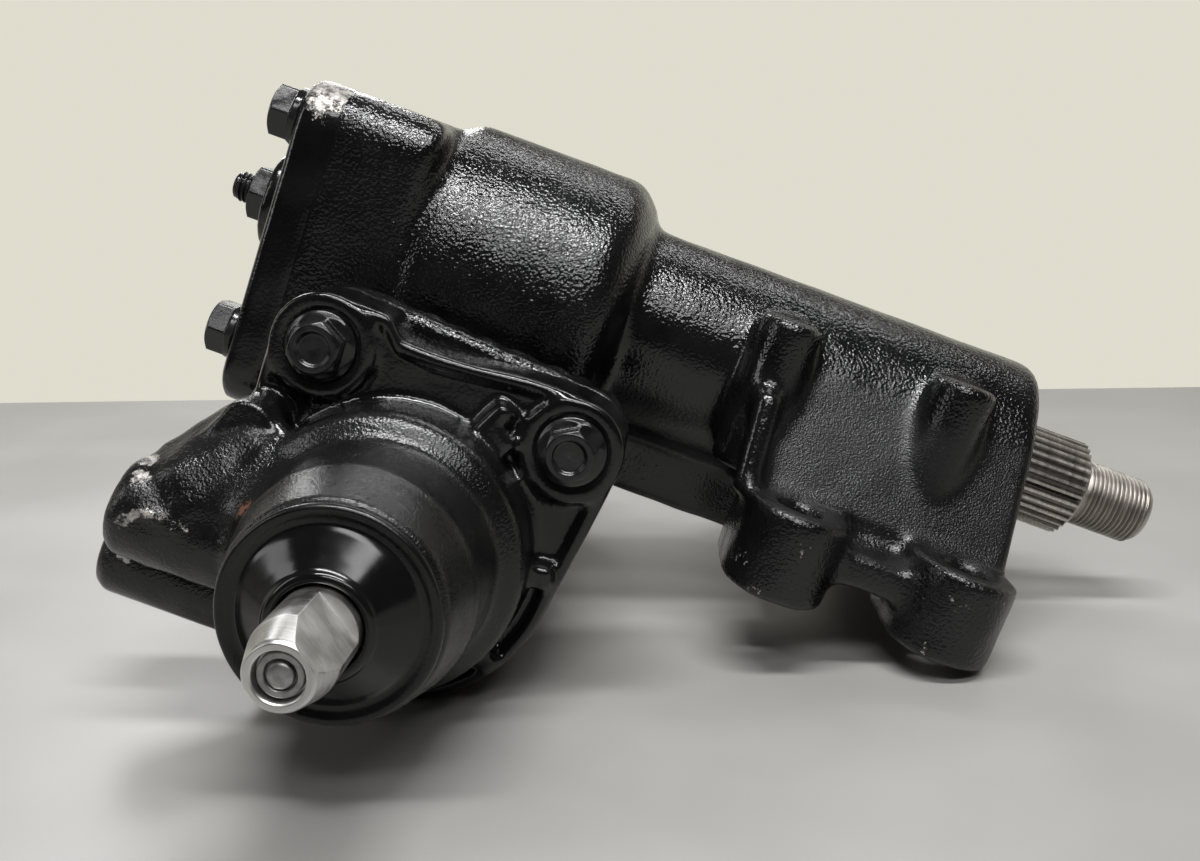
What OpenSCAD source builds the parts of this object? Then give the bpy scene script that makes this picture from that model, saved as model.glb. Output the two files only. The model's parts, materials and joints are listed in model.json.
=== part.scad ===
/* [Gear centres] */
// Distance from the sector shaft axis down to the worm axis
centre_distance = 66; // [65:0.5:68]
// Pitch radius of the sector teeth
sector_pitch_r = 36; // [35:0.5:37]
// Module of the sector and rack teeth
tooth_module = 6; // [5.5:0.1:6]
// Pressure angle of the sector and rack teeth
pressure_angle = 25; // [24:1:26]
// Play between a sector tooth and its rack space
tooth_play = 0.6; // [0.4:0.1:1]
// Face width of the sector teeth
sector_face_w = 40; // [36:1:42]
// Turn of the sector shaft each way from straight ahead, in degrees
sector_swing = 40; // [34:1:42]
// Advance of the ball nut in one turn of the worm
worm_lead = 16; // [14:0.5:18]

/* [Gear housing] */
// Wall of the rack piston cylinder
cyl_wall = 10; // [8:0.5:12]
// Closed rear wall of the cylinder
cyl_end_wall = 10; // [8:0.5:14]
// Wall of the sector chamber round the swept teeth
barrel_wall = 5.5; // [5:0.5:8]
// Drop of the sector chamber's centre below the sector axis
barrel_drop = 2.5; // [2:0.5:4]
// Length of the sector chamber on the output side of the worm axis
chamber_right = 37; // [34:1:42]
// Length of the block that carries the side cover
cover_block_len = 31; // [29:1:34]
// Half width of the side cover block
cover_half_w = 47; // [46:0.5:50]
// Top of the side cover block above the sector axis
cover_top = 42; // [41:0.5:46]
// Bottom of the side cover block below the sector axis
cover_bottom = 60; // [57:1:64]
// Corner radius of the side cover and its block
cover_corner = 13; // [10:1:16]
// Radius of the output neck
neck_r = 33.5; // [32:0.5:35]
// Distance from the worm axis to the end of the output neck
neck_end = 171.5; // [164:0.5:180]
// Slope of the flat neck walls outward from vertical, in degrees
wall_slope = 28; // [24:1:32]

/* [Mounting feet] */
// Distance from the worm axis to the inner feet
foot_x = 105; // [100:1:108]
// Distance between the two feet of one side
foot_pitch = 51; // [48:1:54]
// Distance from the sector axis out to the foot holes
foot_y = 61; // [59:1:66]
// Radius of a foot
foot_r = 15.5; // [14:0.5:17]
// Height of the foot tops below the sector axis
foot_top = 25; // [24:0.5:28]
// Height of the mounting plane below the sector axis
foot_bottom = 51.5; // [50:0.5:56]
// Diameter of the foot bolt holes
foot_hole_d = 13; // [10:0.5:16]
// Radius of the upright bosses on the neck walls
column_r = 9.5; // [8:0.5:11]
// Top of the upright bosses above the sector axis
column_top = 23; // [18:1:25]

/* [Valve housing] */
// Thickness of the valve housing flange
valve_flange_t = 18; // [16:0.5:22]
// Radius of the valve housing body
valve_body_r = 38; // [36:0.5:40]
// Reach of the valve housing body from the joint face
valve_body_len = 36; // [34:1:40]
// Radius of the nose where it leaves the body
valve_nose_r = 31; // [29:0.5:33]
// Radius of the nose at its front
valve_front_r = 26.5; // [26:0.5:28]
// Reach of the nose from the joint face
valve_reach = 76; // [74:1:82]
// Distance between the two upper valve housing bolts
valve_bolt_span = 70.5; // [69:0.5:74]
// Height of the upper valve housing bolts above the worm axis
valve_bolt_rise = 42; // [41:0.5:45]
// Turn of the upper bolt pair, in degrees
valve_clock = 3; // [0:0.5:5]
// Radius of the valve housing bolt bosses
valve_boss_r = 14; // [12:0.5:15]
// Reach of the pressure port boss from the worm axis
pressure_reach = 66; // [62:1:72]
// Reach of the return port boss from the worm axis
return_reach = 74; // [70:1:80]
// Diameter of the pressure port thread
pressure_port_d = 16; // [14:1:18]
// Diameter of the return port thread
return_port_d = 14; // [12:1:16]

/* [Shafts] */
// Outer diameter of the output spline
spline_d = 32; // [30:0.5:34]
// Number of teeth of the output spline
spline_teeth = 32; // [28:1:36]
// Distance from the neck end to the end of the spline
spline_reach = 28; // [26:0.5:32]
// Diameter of the pitman nut thread
thread_d = 22; // [20:0.5:24]
// Length of the pitman nut thread
thread_len = 22; // [18:1:28]
// Diameter of the sector shaft journals
journal_d = 35; // [34.5:0.5:37]
// Diameter of the input shaft
input_d = 19; // [18:0.5:20]
// Reach of the input shaft from the valve housing front
input_reach = 35; // [32:1:44]
// Depth of each drive flat on the input shaft
input_flat_depth = 2.8; // [2:0.1:3.2]
// Outer radius of the worm
worm_r = 12; // [11.5:0.1:12.5]
// Diameter of the recirculating balls
ball_d = 6; // [5.6:0.1:6.4]

/* [Fasteners] */
// Thread diameter of the valve housing bolts
valve_bolt_d = 8; // [7:0.5:9]
// Thread diameter of the side cover bolts
cover_bolt_d = 10; // [8:0.5:11]
// Thread diameter of the lash adjuster screw
adjuster_d = 10; // [9:0.5:12]
// Reach of the adjuster screw past its lock nut
adjuster_reach = 7; // [5:0.5:12]

/* [Fits] */
// Radial clearance of the running fits
run_fit = 0.06; // [0.03:0.01:0.09]
// Radial clearance of pressed and screwed fits
seat_fit = 0.02; // [0.01:0.01:0.03]
// Free gap between moving teeth, ends and walls
free_gap = 1; // [0.8:0.1:1.4]

/* [Hidden] */
$fn = 64;
eps = 0.5;
rack_pitch_h = centre_distance - sector_pitch_r;
nut_r = rack_pitch_h + tooth_module;
bore_r = nut_r + run_fit;
cyl_r = bore_r + cyl_wall;
sector_tip_r = sector_pitch_r + tooth_module;
tooth_depth = 1.25 * tooth_module;
sector_root_r = sector_pitch_r - tooth_depth;
sector_hub_r = sector_root_r - 2;
sweep_r = sector_tip_r + free_gap;
tooth_pitch = PI * tooth_module;
tooth_angle = tooth_pitch / sector_pitch_r * 180 / PI;
nut_travel = sector_pitch_r * sector_swing * PI / 180;
base_r = sector_pitch_r * cos(pressure_angle);
tooth_half_angle = (tooth_pitch - tooth_play) / 4 / sector_pitch_r * 180 / PI;
barrel_r = sweep_r + barrel_wall;
barrel_corner = 12;
barrel_near_corner = 8;
barrel_lap = 3;
neck_fillet_r = 6;
block_round = 9;
block_ease = 1.5;

// Stations along the rack piston, from the sector axis
nut_front = 44;
nut_back = 60;
nut_plug_t = 8;
joint_gap = 3;
joint_y = -(nut_front + nut_travel + joint_gap);
bore_end = nut_back + nut_travel + 2 * free_gap;
cyl_end = bore_end + cyl_end_wall;
cyl_corner = 12;
housing_flange_t = 14;
keel_w = 20;
foot_pad_w = 27;

// Stations along the sector shaft, from the worm axis
gear_half = sector_face_w / 2;
chamber_x0 = -gear_half - free_gap;
chamber_x1 = gear_half + free_gap;
block_x1 = chamber_x0 - 7;
cover_seat_x = block_x1 - cover_block_len;
cover_t = 12;
cover_out_x = cover_seat_x - cover_t;
cover_hub_len = 13;
cover_hub_r = 17;
cover_hub_x = cover_out_x - cover_hub_len;
cover_mid_z = -8;
cover_hole_r = sector_tip_r - 5.5;
spigot_x1 = chamber_x0 - 3;
cover_bolt_y = cover_half_w - 11;
cover_bolt_up = cover_top - 13;
cover_bolt_down = cover_bottom - 21;
cover_bolt_places = [for (s = [-1, 1], z = [cover_bolt_up, -cover_bolt_down]) [s * cover_bolt_y, z]];
cover_bolt_grip = 20;
cover_head_h = 9;
cover_head_af = 1.5 * cover_bolt_d;

// Sector shaft supports
journal_r = journal_d / 2;
bearing_wall = 4.5;
bearing_r = journal_r + run_fit + bearing_wall;
bearing_len = 26;
sector_end_x = cover_seat_x + 1;
bearing_bore_x = sector_end_x - free_gap;
seal_bore_r = bearing_r + 2;
seal_x = neck_end - 21;
seal_t = 8;
clip_x = seal_x + seal_t + 0.5;
clip_t = 1.6;
dust_x = clip_x + clip_t + 0.5;
outer_bearing_x = seal_x - bearing_len - 1;
spline_x0 = neck_end + 4;
spline_x1 = neck_end + spline_reach;
spline_depth = 1.3;
thread_x1 = spline_x1 + 2 + thread_len;

// Lash adjuster
adjuster_r = adjuster_d / 2;
adjuster_head_r = adjuster_r + 3;
adjuster_head_t = 5;
lock_nut_t = 7;
lock_nut_af = 1.7 * adjuster_d;
adjuster_tip_x = cover_hub_x - lock_nut_t - adjuster_reach;
slot_r = adjuster_head_r + 0.6;
retainer_t = 4;
slot_x1 = sector_end_x + retainer_t + adjuster_head_t + 0.6;

// Valve assembly, measured forward from the joint face
head_cavity_r = 30;
head_cavity_l = 9;
head_r = 29;
head_l0 = 1;
head_l1 = 6;
sleeve_r = 23;
sleeve_l1 = 50;
spool_r = 16;
spool_l0 = 8;
valve_bore_l1 = sleeve_l1 + 2;
input_r = input_d / 2;
bearing_shell = 4.4;
input_bearing_r = input_r + run_fit + bearing_shell;
input_bearing_l0 = valve_bore_l1;
input_bearing_l1 = valve_reach - 13;
input_seal_r = input_bearing_r + 3;
input_seal_l1 = input_bearing_l1 + 5;
input_clip_l1 = input_seal_l1 + 1.5;
dust_bore_r = 22;
dust_bore_l0 = input_clip_l1 + 0.5;
dust_rim_r = valve_front_r - 0.9;
dust_rim_t = 2.5;
dust_cone_r = dust_rim_r - 5.2;
dust_cone_h = 7.5;
tip_l = valve_reach + input_reach;
tip_cone_l = 9;
tip_face_r = 0.73 * input_r;
flat_turn = 55;
flat_len = 23;
bar_r = 3.1;
bar_bore_r = bar_r + 0.4;
bar_end = 14;
valve_bolt_r = valve_bolt_d / 2;
boss_face = valve_flange_t + 1.5;
boss_rim = 1.2;
bead_inset = 0.5;
bead_w = 2.4;
bead_h = 1.3;
rib_w = 6;
rib_h = 6.5;
rib_angles = [8, -32, 62];
rib_arc_w = 2.6;
rib_arc_h = 3.5;
band_len = 4;
bolt_flange_r = 1.17 * valve_bolt_d;
bolt_spot_r = bolt_flange_r + free_gap;
upper_bolt = [valve_bolt_span / 2, valve_bolt_rise];
low_bolt = (bore_r + 9.5) * [-0.44, -0.9];
low_boss_r = 11;
valve_bolts = [
    rotate2(upper_bolt, -valve_clock),
    rotate2([-upper_bolt[0], upper_bolt[1]], -valve_clock),
    low_bolt
];
valve_boss_radii = [valve_boss_r, valve_boss_r, low_boss_r];
valve_bolt_grip = valve_flange_t + 12;
valve_head_h = 8;
port_depth = 12;
port_seat_h = 4;
port_seat_nose = 3;
port_seat_wall = 2;
pressure_boss_r = pressure_port_d / 2 + 5.5;
return_boss_r = return_port_d / 2 + 5.5;
port_passage_r = 3;
pressure_place = [-9, valve_body_len - 3];
return_place = [-32, 10];
pressure_boss_end = -20;
return_boss_end = -cyl_r * 0.7;
shoulder_from = [4 - cyl_r, 20];
shoulder_from_r = 7;
shoulder_to = [14 - pressure_reach, pressure_place[0] + 4];
shoulder_to_r = 9.5;
sleeve_ring_places = [for (i = [0 : 3]) head_cavity_l + 2 + 11 * i];
sleeve_pin_r = 1.5;
sleeve_pin_place = [0, (sleeve_r + spool_r) / 2];
sleeve_pin_l0 = 3;
sleeve_pin_len = 6.5;
bar_pin_r = 1.5;
bar_pin_l = valve_reach - 4;

// Ball circuit
ball_r = ball_d / 2;
ball_path_r = worm_r + 0.6;
groove_r = ball_r + 0.4;
worm_facets = 20;
worm_slices = 9;
nut_bore_r = ball_path_r + ball_r + 0.2;
worm_thread_y0 = joint_y + 7;
worm_tip_y = nut_back - nut_plug_t - nut_travel - 2 * free_gap;
ball_count = 24;
ball_step = 30;
circuit_y0 = -36;
circuit_length = worm_lead * ball_count * ball_step / 360;
ball_phase = 360 * (circuit_y0 - worm_thread_y0) / worm_lead;
guide_tube_r = ball_r + 1.2;
guide_drop = nut_r - 11;
guide_seat_z = -centre_distance - guide_drop - guide_tube_r;
clamp_t = 1.6;
clamp_len = circuit_length * 0.4;
clamp_mid_y = circuit_y0 + circuit_length / 2;
guide_screw_r = 2;
guide_screw_x = guide_tube_r + 2 * guide_screw_r + 1.3;
clamp_half_w = guide_screw_x + 2 * guide_screw_r;
guide_screw_len = 7;

// Lie of the box on a bench: the cylinder and the outer foot corners touch
rest_x = foot_x + foot_pitch + foot_r;
rest_z = centre_distance - foot_bottom;
rest_tilt = asin(cyl_r / norm([rest_x, rest_z])) + atan2(rest_z, rest_x);

function rotate2(p, a) = [p[0] * cos(a) - p[1] * sin(a), p[0] * sin(a) + p[1] * cos(a)];
function involute(a) = tan(a) - a * PI / 180;
function flank_angle(r) =
    tooth_half_angle + (involute(pressure_angle) - involute(acos(base_r / r))) * 180 / PI;

// Turns the modelled box into the way it lies, about the end of the output spline
module place() {
    rotate([0, rest_tilt, 0]) translate([-spline_x1, 0, 0]) children();
}

// Local axis along the sector shaft, starting at x
module on_sector(x) {
    translate([x, 0, 0]) rotate([0, 90, 0]) children();
}

// Local axis along the worm toward the rear, starting at y
module on_worm(y) {
    translate([0, y, -centre_distance]) rotate([-90, 0, 0]) children();
}

// Joint face of the valve housing, local axis toward the input end
module on_joint(l = 0) {
    translate([0, joint_y - l, -centre_distance]) rotate([90, 0, 0]) children();
}

// Section drawn in y and z, drawn out along the sector shaft from x0 to x1
module draw_x(x0, x1) {
    translate([x0, 0, 0]) rotate([90, 0, 90]) linear_extrude(x1 - x0) children();
}

module ring(h, r_out, r_in) {
    difference() {
        cylinder(h = h, r = r_out);
        translate([0, 0, -eps]) cylinder(h = h + 2 * eps, r = r_in);
    }
}

// Post with a rounded far edge
module rounded_post(r, h, corner) {
    rotate_extrude() {
        square([r - corner, h]);
        square([r, h - corner]);
        intersection() {
            translate([r - corner, h - corner]) circle(corner);
            square([r, h]);
        }
    }
}

module rounded_rect(half_w, z0, z1, corner) {
    translate([-half_w, z0 + corner]) square([2 * half_w, z1 - z0 - 2 * corner]);
    translate([-half_w + corner, z0]) square([2 * (half_w - corner), z1 - z0]);
    for (s = [-1, 1], z = [z0 + corner, z1 - corner]) translate([s * (half_w - corner), z]) circle(corner);
}

// Area between the two outer tangents of a pair of circles
module tangent_link(c1, r1, c2, r2) {
    d = c2 - c1;
    turn = atan2(d[1], d[0]);
    a = acos((r1 - r2) / norm(d));
    up = [cos(turn + a), sin(turn + a)];
    down = [cos(turn - a), sin(turn - a)];
    polygon([c1 + r1 * up, c1 + r1 * down, c2 + r2 * down, c2 + r2 * up]);
}

// Outline of the joint flange, drawn in by an inset
module valve_outline(inset = 0) {
    round_r = cyl_r - inset;
    circle(round_r);
    for (i = [0 : len(valve_bolts) - 1]) {
        boss_r = valve_boss_radii[i] - inset;
        translate(valve_bolts[i]) circle(boss_r);
        if (i < 2) tangent_link(valve_bolts[i], boss_r, [0, 0], round_r);
    }
    tangent_link(valve_bolts[0], valve_boss_r - inset, valve_bolts[1], valve_boss_r - inset);
}

// Raised bead along the flange's edge
module flange_bead() {
    on_joint(valve_flange_t - eps) linear_extrude(bead_h + eps) difference() {
        valve_outline(bead_inset);
        valve_outline(bead_inset + bead_w);
    }
}

module cover_outline() {
    rounded_rect(cover_half_w, -cover_bottom, cover_top, cover_corner);
}

// Hexagon prism with a chamfered top
module hex(af, h) {
    intersection() {
        cylinder(h = h, r = af / sqrt(3), $fn = 6);
        union() {
            cylinder(h = h - 0.12 * af, r = af);
            translate([0, 0, h - 0.12 * af]) cylinder(h = 0.12 * af, r1 = 0.6 * af, r2 = 0.44 * af);
        }
    }
}

// Flat wall of the neck, tangent to the neck and running out to the feet
module wall_section() {
    touch = neck_r * [-cos(wall_slope), sin(wall_slope)];
    foot_line = touch[0] - (touch[1] + foot_top) * tan(wall_slope);
    polygon([[0, 0], touch, [foot_line, -foot_top], [foot_line, -foot_top - 4], [-neck_r / 3, -neck_r]]);
}

module wall_side() {
    wall_x0 = foot_x - foot_r;
    column_y = -(neck_r + 2);
    draw_x(wall_x0, neck_end) wall_section();
    for (x = [foot_x - 18, foot_x + foot_pitch - 13])
        translate([x, column_y, -foot_top]) cylinder(h = column_top + foot_top, r = column_r);
    for (x = [foot_x, foot_x + foot_pitch]) {
        translate([x, -foot_y, -foot_bottom]) cylinder(h = foot_bottom - foot_top, r = foot_r);
        translate([x - foot_r, -foot_y, -foot_bottom]) cube([2 * foot_r, foot_pad_w, foot_bottom - foot_top]);
    }
    translate([foot_x, -foot_y - 6, -foot_bottom + 10]) cube([foot_pitch, 14, 10]);
    // Bead down the inner edge of the wall
    rotate([-wall_slope, 0, 0]) translate([wall_x0 + 1.5, -neck_r, -foot_top - 4])
        cylinder(h = foot_top + 6, r = 2.6);
}

// Side view of the cover block: a bar from the seat with its far edges rounded
module block_side(z0, z1) {
    len = block_x1 - cover_seat_x;
    translate([cover_seat_x - eps, z0]) square([len - block_round + eps, z1 - z0]);
    translate([cover_seat_x, z0 + block_round]) square([len, z1 - z0 - 2 * block_round]);
    for (z = [z0 + block_round, z1 - block_round]) translate([block_x1 - block_round, z]) circle(block_round);
}

// Cover block, its edges towards the barrel rounded
module cover_block() {
    half = cover_half_w + block_ease;
    intersection() {
        draw_x(cover_seat_x, block_x1 + eps) cover_outline();
        translate([0, 0, -2 * cover_bottom]) linear_extrude(4 * cover_bottom) block_side(-half, half);
        rotate([90, 0, 0]) translate([0, 0, -2 * cover_half_w]) linear_extrude(4 * cover_half_w)
            block_side(-cover_bottom - block_ease, cover_top + block_ease);
    }
}

// Sector barrel, rounded at both ends
module sector_barrel() {
    translate([0, 0, -barrel_drop]) rotate([0, 90, 0]) rounded_post(barrel_r, chamber_right, barrel_corner);
    translate([eps, 0, -barrel_drop]) rotate([0, -90, 0])
        rounded_post(barrel_r, barrel_lap - block_x1 + eps, barrel_near_corner);
}

// Fillet where the neck leaves the barrel
module neck_fillet() {
    on_sector(chamber_right - eps) rotate_extrude() difference() {
        translate([neck_r - 2, 0]) square([neck_fillet_r + 1.6, neck_fillet_r + eps]);
        translate([neck_r + neck_fillet_r - 0.4, neck_fillet_r + eps]) circle(neck_fillet_r);
    }
}

module housing_casting() {
    on_worm(joint_y) rounded_post(cyl_r, cyl_end - joint_y, cyl_corner);
    on_joint(-housing_flange_t) linear_extrude(housing_flange_t) valve_outline();
    sector_barrel();
    neck_fillet();
    cover_block();
    on_sector(0) rounded_post(neck_r, neck_end, 4);
    for (s = [0, 1]) mirror([0, s, 0]) wall_side();
    // Keel under the neck, from the cylinder to a cross bar between the inner feet
    translate([0, -keel_w / 2, -foot_bottom]) cube([foot_x, keel_w, foot_bottom - neck_r / 2]);
    translate([foot_x - foot_r / 2, -foot_y, -foot_bottom])
        cube([foot_r, 2 * foot_y, foot_bottom - foot_top]);
}

module housing_bores() {
    on_worm(joint_y - eps) cylinder(h = bore_end - joint_y + eps, r = bore_r);
    on_sector(chamber_x0) cylinder(h = chamber_x1 - chamber_x0, r = sector_hub_r + free_gap);
    draw_x(chamber_x0, chamber_x1) intersection() {
        circle(sweep_r);
        translate([-sweep_r, -sweep_r - 2]) square([2 * sweep_r, sweep_r + 4]);
    }
    translate([0, 0, cover_mid_z]) on_sector(cover_seat_x - eps)
        cylinder(h = chamber_x0 - cover_seat_x + 2 * eps, r = cover_hole_r);
    on_sector(0) cylinder(h = chamber_x1 + bearing_len, r = bearing_r + seat_fit);
    on_sector(0) cylinder(h = neck_end, r = journal_r + free_gap);
    on_sector(outer_bearing_x) cylinder(h = neck_end, r = bearing_r + seat_fit);
    on_sector(seal_x) cylinder(h = neck_end, r = seal_bore_r);
    on_sector(clip_x) cylinder(h = clip_t, r = seal_bore_r + 1.5);
    for (b = cover_bolt_places)
        translate([0, b[0], b[1]]) on_sector(cover_seat_x - eps)
            cylinder(h = cover_bolt_grip + 2, r = cover_bolt_d / 2 + seat_fit);
    for (b = valve_bolts) on_joint(-housing_flange_t - eps) translate([b[0], b[1], 0])
        cylinder(h = housing_flange_t + 2 * eps, r = valve_bolt_r + seat_fit);
    for (s = [-1, 1], x = [foot_x, foot_x + foot_pitch])
        translate([x, s * foot_y, -foot_bottom - eps])
            cylinder(h = foot_bottom - foot_top + 2 * eps, r = foot_hole_d / 2);
}

module gear_housing() {
    color("#26272a") place() difference() {
        housing_casting();
        housing_bores();
    }
}

module side_cover() {
    color("#2a2b2e") place() difference() {
        union() {
            draw_x(cover_out_x, cover_seat_x) cover_outline();
            on_sector(cover_hub_x) cylinder(h = cover_hub_len + eps, r = cover_hub_r);
            on_sector(cover_seat_x - eps) cylinder(h = spigot_x1 - cover_seat_x + eps, r = bearing_r + 4);
        }
        on_sector(bearing_bore_x) cylinder(h = spigot_x1 - bearing_bore_x + eps, r = bearing_r + seat_fit);
        on_sector(cover_hub_x - eps)
            cylinder(h = bearing_bore_x - cover_hub_x + 2 * eps, r = adjuster_r + seat_fit);
        for (b = cover_bolt_places)
            translate([0, b[0], b[1]]) on_sector(cover_out_x - eps)
                cylinder(h = cover_t + 2 * eps, r = cover_bolt_d / 2 + 0.4);
        translate([0, 0, cover_mid_z]) on_sector(cover_seat_x - 2.5)
            ring(2.5 + eps, cover_hole_r + 5, cover_hole_r + 1);
    }
}

module side_cover_bolts() {
    color("#1d1e20") place() for (b = cover_bolt_places)
        translate([0, b[0], b[1]]) {
            on_sector(cover_out_x) cylinder(h = cover_t + cover_bolt_grip, r = cover_bolt_d / 2);
            on_sector(cover_out_x) mirror([0, 0, 1]) hex(cover_head_af, cover_head_h);
            on_sector(cover_out_x - 1.6) cylinder(h = 1.6, r = 0.58 * cover_head_af);
        }
}

module side_cover_seal() {
    color("#111111") place() translate([0, 0, cover_mid_z])
        on_sector(cover_seat_x - 2.5) ring(2.5, cover_hole_r + 4.8, cover_hole_r + 1.2);
}

module adjuster_screw() {
    color("#56585c") place() difference() {
        union() {
            on_sector(adjuster_tip_x)
                cylinder(h = sector_end_x + retainer_t - adjuster_tip_x + eps, r = adjuster_r);
            on_sector(sector_end_x + retainer_t + 0.3) cylinder(h = adjuster_head_t, r = adjuster_head_r);
        }
        // Hexagon socket for the setting key
        on_sector(adjuster_tip_x - eps) cylinder(h = 5 + eps, r = 0.5 * adjuster_r, $fn = 6);
    }
}

module adjuster_lock_nut() {
    color("#3a3c40") place() difference() {
        on_sector(cover_hub_x) mirror([0, 0, 1]) hex(lock_nut_af, lock_nut_t);
        on_sector(cover_hub_x - lock_nut_t - eps)
            cylinder(h = lock_nut_t + 2 * eps, r = adjuster_r + seat_fit);
    }
}

module sector_bearing(x, h) {
    on_sector(x) ring(h, bearing_r, journal_r + run_fit);
}

module cover_bearing() {
    bearing_x = bearing_bore_x + 2 * free_gap;
    color("#9a9ca0") place() sector_bearing(bearing_x, spigot_x1 - bearing_x);
}

module neck_inner_bearing() {
    color("#9a9ca0") place() sector_bearing(chamber_x1 + free_gap, bearing_len - free_gap);
}

module neck_outer_bearing() {
    color("#9a9ca0") place() sector_bearing(outer_bearing_x, bearing_len);
}

module sector_oil_seal() {
    color("#161616") place() on_sector(seal_x) ring(seal_t, seal_bore_r - seat_fit, journal_r + run_fit);
}

module sector_retaining_ring() {
    color("#8b8d90") place() on_sector(clip_x + 0.1) ring(clip_t - 0.2, seal_bore_r + 1.2, seal_bore_r - 3);
}

module sector_dust_seal() {
    color("#141414") place() difference() {
        union() {
            on_sector(dust_x) cylinder(h = neck_end - dust_x + 1.5, r = seal_bore_r - seat_fit);
            on_sector(neck_end) cylinder(h = 1.5, r = seal_bore_r + 2);
        }
        on_sector(dust_x - eps) cylinder(h = neck_end - dust_x + 4, r = journal_r + run_fit);
    }
}

// Revolved body of the valve housing: flange, body, cone band and tapered nose
module valve_body() {
    front_l = valve_body_len + band_len;
    mid_l = (front_l + valve_reach) / 2;
    on_joint() rotate_extrude() polygon([
        [0, 0], [valve_body_r, 0], [valve_body_r, valve_body_len - 3], [valve_body_r - 1, valve_body_len],
        [valve_nose_r + 0.3, front_l], [valve_nose_r - 0.4, front_l + 5],
        [valve_front_r + 2.6, mid_l + 4], [valve_front_r + 0.8, valve_reach - 6],
        [valve_front_r, valve_reach - 2.5], [valve_front_r, valve_reach - 1],
        [valve_front_r - 1, valve_reach], [0, valve_reach]
    ]);
}

// Port boss toward the cover side, running in to the given end
module port_boss(spot, reach, r, inner_end) {
    on_joint(spot[1]) translate([-reach, spot[0], 0]) rotate([0, 90, 0]) {
        translate([0, 0, 3]) cylinder(h = reach - 3 + inner_end, r = r);
        cylinder(h = 3, r1 = r - 2, r2 = r);
    }
}

// Shoulder that carries the flange out to the pressure port
module port_shoulder() {
    on_joint(valve_flange_t - eps) linear_extrude(pressure_place[1] - valve_flange_t + eps) {
        tangent_link(shoulder_from, shoulder_from_r - 0.4, shoulder_to, shoulder_to_r - 0.4);
        translate(shoulder_from) circle(shoulder_from_r);
        translate(shoulder_to) circle(shoulder_to_r);
        polygon([[0, 0], shoulder_from, shoulder_to]);
    }
}

module valve_ribs() {
    for (a = rib_angles)
        on_joint(valve_flange_t - eps) rotate(a) translate([valve_body_r - 3, -rib_w / 2, 0])
            cube([cyl_r - valve_body_r + 1, rib_w, rib_h]);
    // Arc between the two lower ribs
    on_joint(valve_flange_t - eps) intersection() {
        ring(rib_arc_h + eps, cyl_r - 1, cyl_r - 1 - rib_arc_w);
        linear_extrude(rib_arc_h + eps) polygon([
            [0, 0], 2 * cyl_r * [cos(rib_angles[0]), sin(rib_angles[0])],
            2 * cyl_r * [cos(rib_angles[1]), sin(rib_angles[1])]
        ]);
    }
}

module valve_casting() {
    valve_body();
    on_joint() linear_extrude(valve_flange_t) valve_outline();
    for (i = [0 : len(valve_bolts) - 1])
        on_joint() translate([valve_bolts[i][0], valve_bolts[i][1], 0])
            cylinder(h = boss_face + boss_rim, r = valve_boss_radii[i]);
    valve_ribs();
    flange_bead();
    port_shoulder();
    port_boss(pressure_place, pressure_reach, pressure_boss_r, pressure_boss_end);
    // The return boss is cut flat just in front of the joint face
    difference() {
        port_boss(return_place, return_reach, return_boss_r, return_boss_end);
        on_joint(free_gap - return_boss_r) translate([-return_reach - eps, -2 * cyl_r, 0])
            cube([2 * return_reach, 4 * cyl_r, return_boss_r]);
    }
}

// Threaded port with a drilled passage aimed at the valve bore
module port_bore(spot, reach, d) {
    seat_end = port_depth + port_seat_nose + port_seat_h;
    inner_end = [seat_end - reach - eps, spot[0]];
    on_joint(spot[1]) {
        translate([-reach - eps, spot[0], 0]) rotate([0, 90, 0]) {
            cylinder(h = port_depth + eps, r = d / 2);
            cylinder(h = seat_end + eps, r = d / 2 - port_seat_wall);
        }
        translate(inner_end) rotate([0, 90, atan2(-inner_end[1], -inner_end[0])])
            cylinder(h = norm(inner_end) - sleeve_r + 2, r = port_passage_r);
    }
}

module valve_bores() {
    on_joint(-eps) cylinder(h = head_cavity_l + eps, r = head_cavity_r);
    on_joint() cylinder(h = valve_bore_l1, r = sleeve_r + run_fit);
    on_joint() cylinder(h = input_bearing_l1 + eps, r = input_bearing_r + seat_fit);
    on_joint(input_bearing_l1) cylinder(h = valve_reach, r = input_seal_r + seat_fit);
    on_joint(input_seal_l1 + 0.2) cylinder(h = input_clip_l1 - input_seal_l1, r = input_seal_r + 1.2);
    on_joint(dust_bore_l0) cylinder(h = valve_reach, r = dust_bore_r);
    on_joint(-eps) ring(2.5 + eps, bore_r + 4, bore_r + 1.3);
    for (b = valve_bolts) on_joint(-eps) translate([b[0], b[1], 0])
        cylinder(h = boss_face + 2 * eps, r = valve_bolt_r + 0.4);
    // Spot faces under the bolt heads
    for (b = valve_bolts) on_joint(boss_face) translate([b[0], b[1], 0])
        cylinder(h = valve_body_len, r = bolt_spot_r);
    port_bore(pressure_place, pressure_reach, pressure_port_d);
    port_bore(return_place, return_reach, return_port_d);
}

module valve_housing() {
    color("#222326") place() difference() {
        valve_casting();
        valve_bores();
    }
}

module valve_housing_bolts() {
    color("#18191b") place() for (b = valve_bolts) {
        on_joint(boss_face - valve_bolt_grip) translate([b[0], b[1], 0])
            cylinder(h = valve_bolt_grip, r = valve_bolt_r);
        on_joint(boss_face) translate([b[0], b[1], 0]) difference() {
            union() {
                cylinder(h = 1.4, r = bolt_flange_r);
                translate([0, 0, 1.4]) cylinder(h = 1.2, r1 = bolt_flange_r, r2 = 0.95 * valve_bolt_d);
                hex(1.62 * valve_bolt_d, valve_head_h);
            }
            translate([0, 0, valve_head_h - 0.8]) cylinder(h = 2, r = 0.55 * valve_bolt_d);
        }
    }
}

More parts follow.
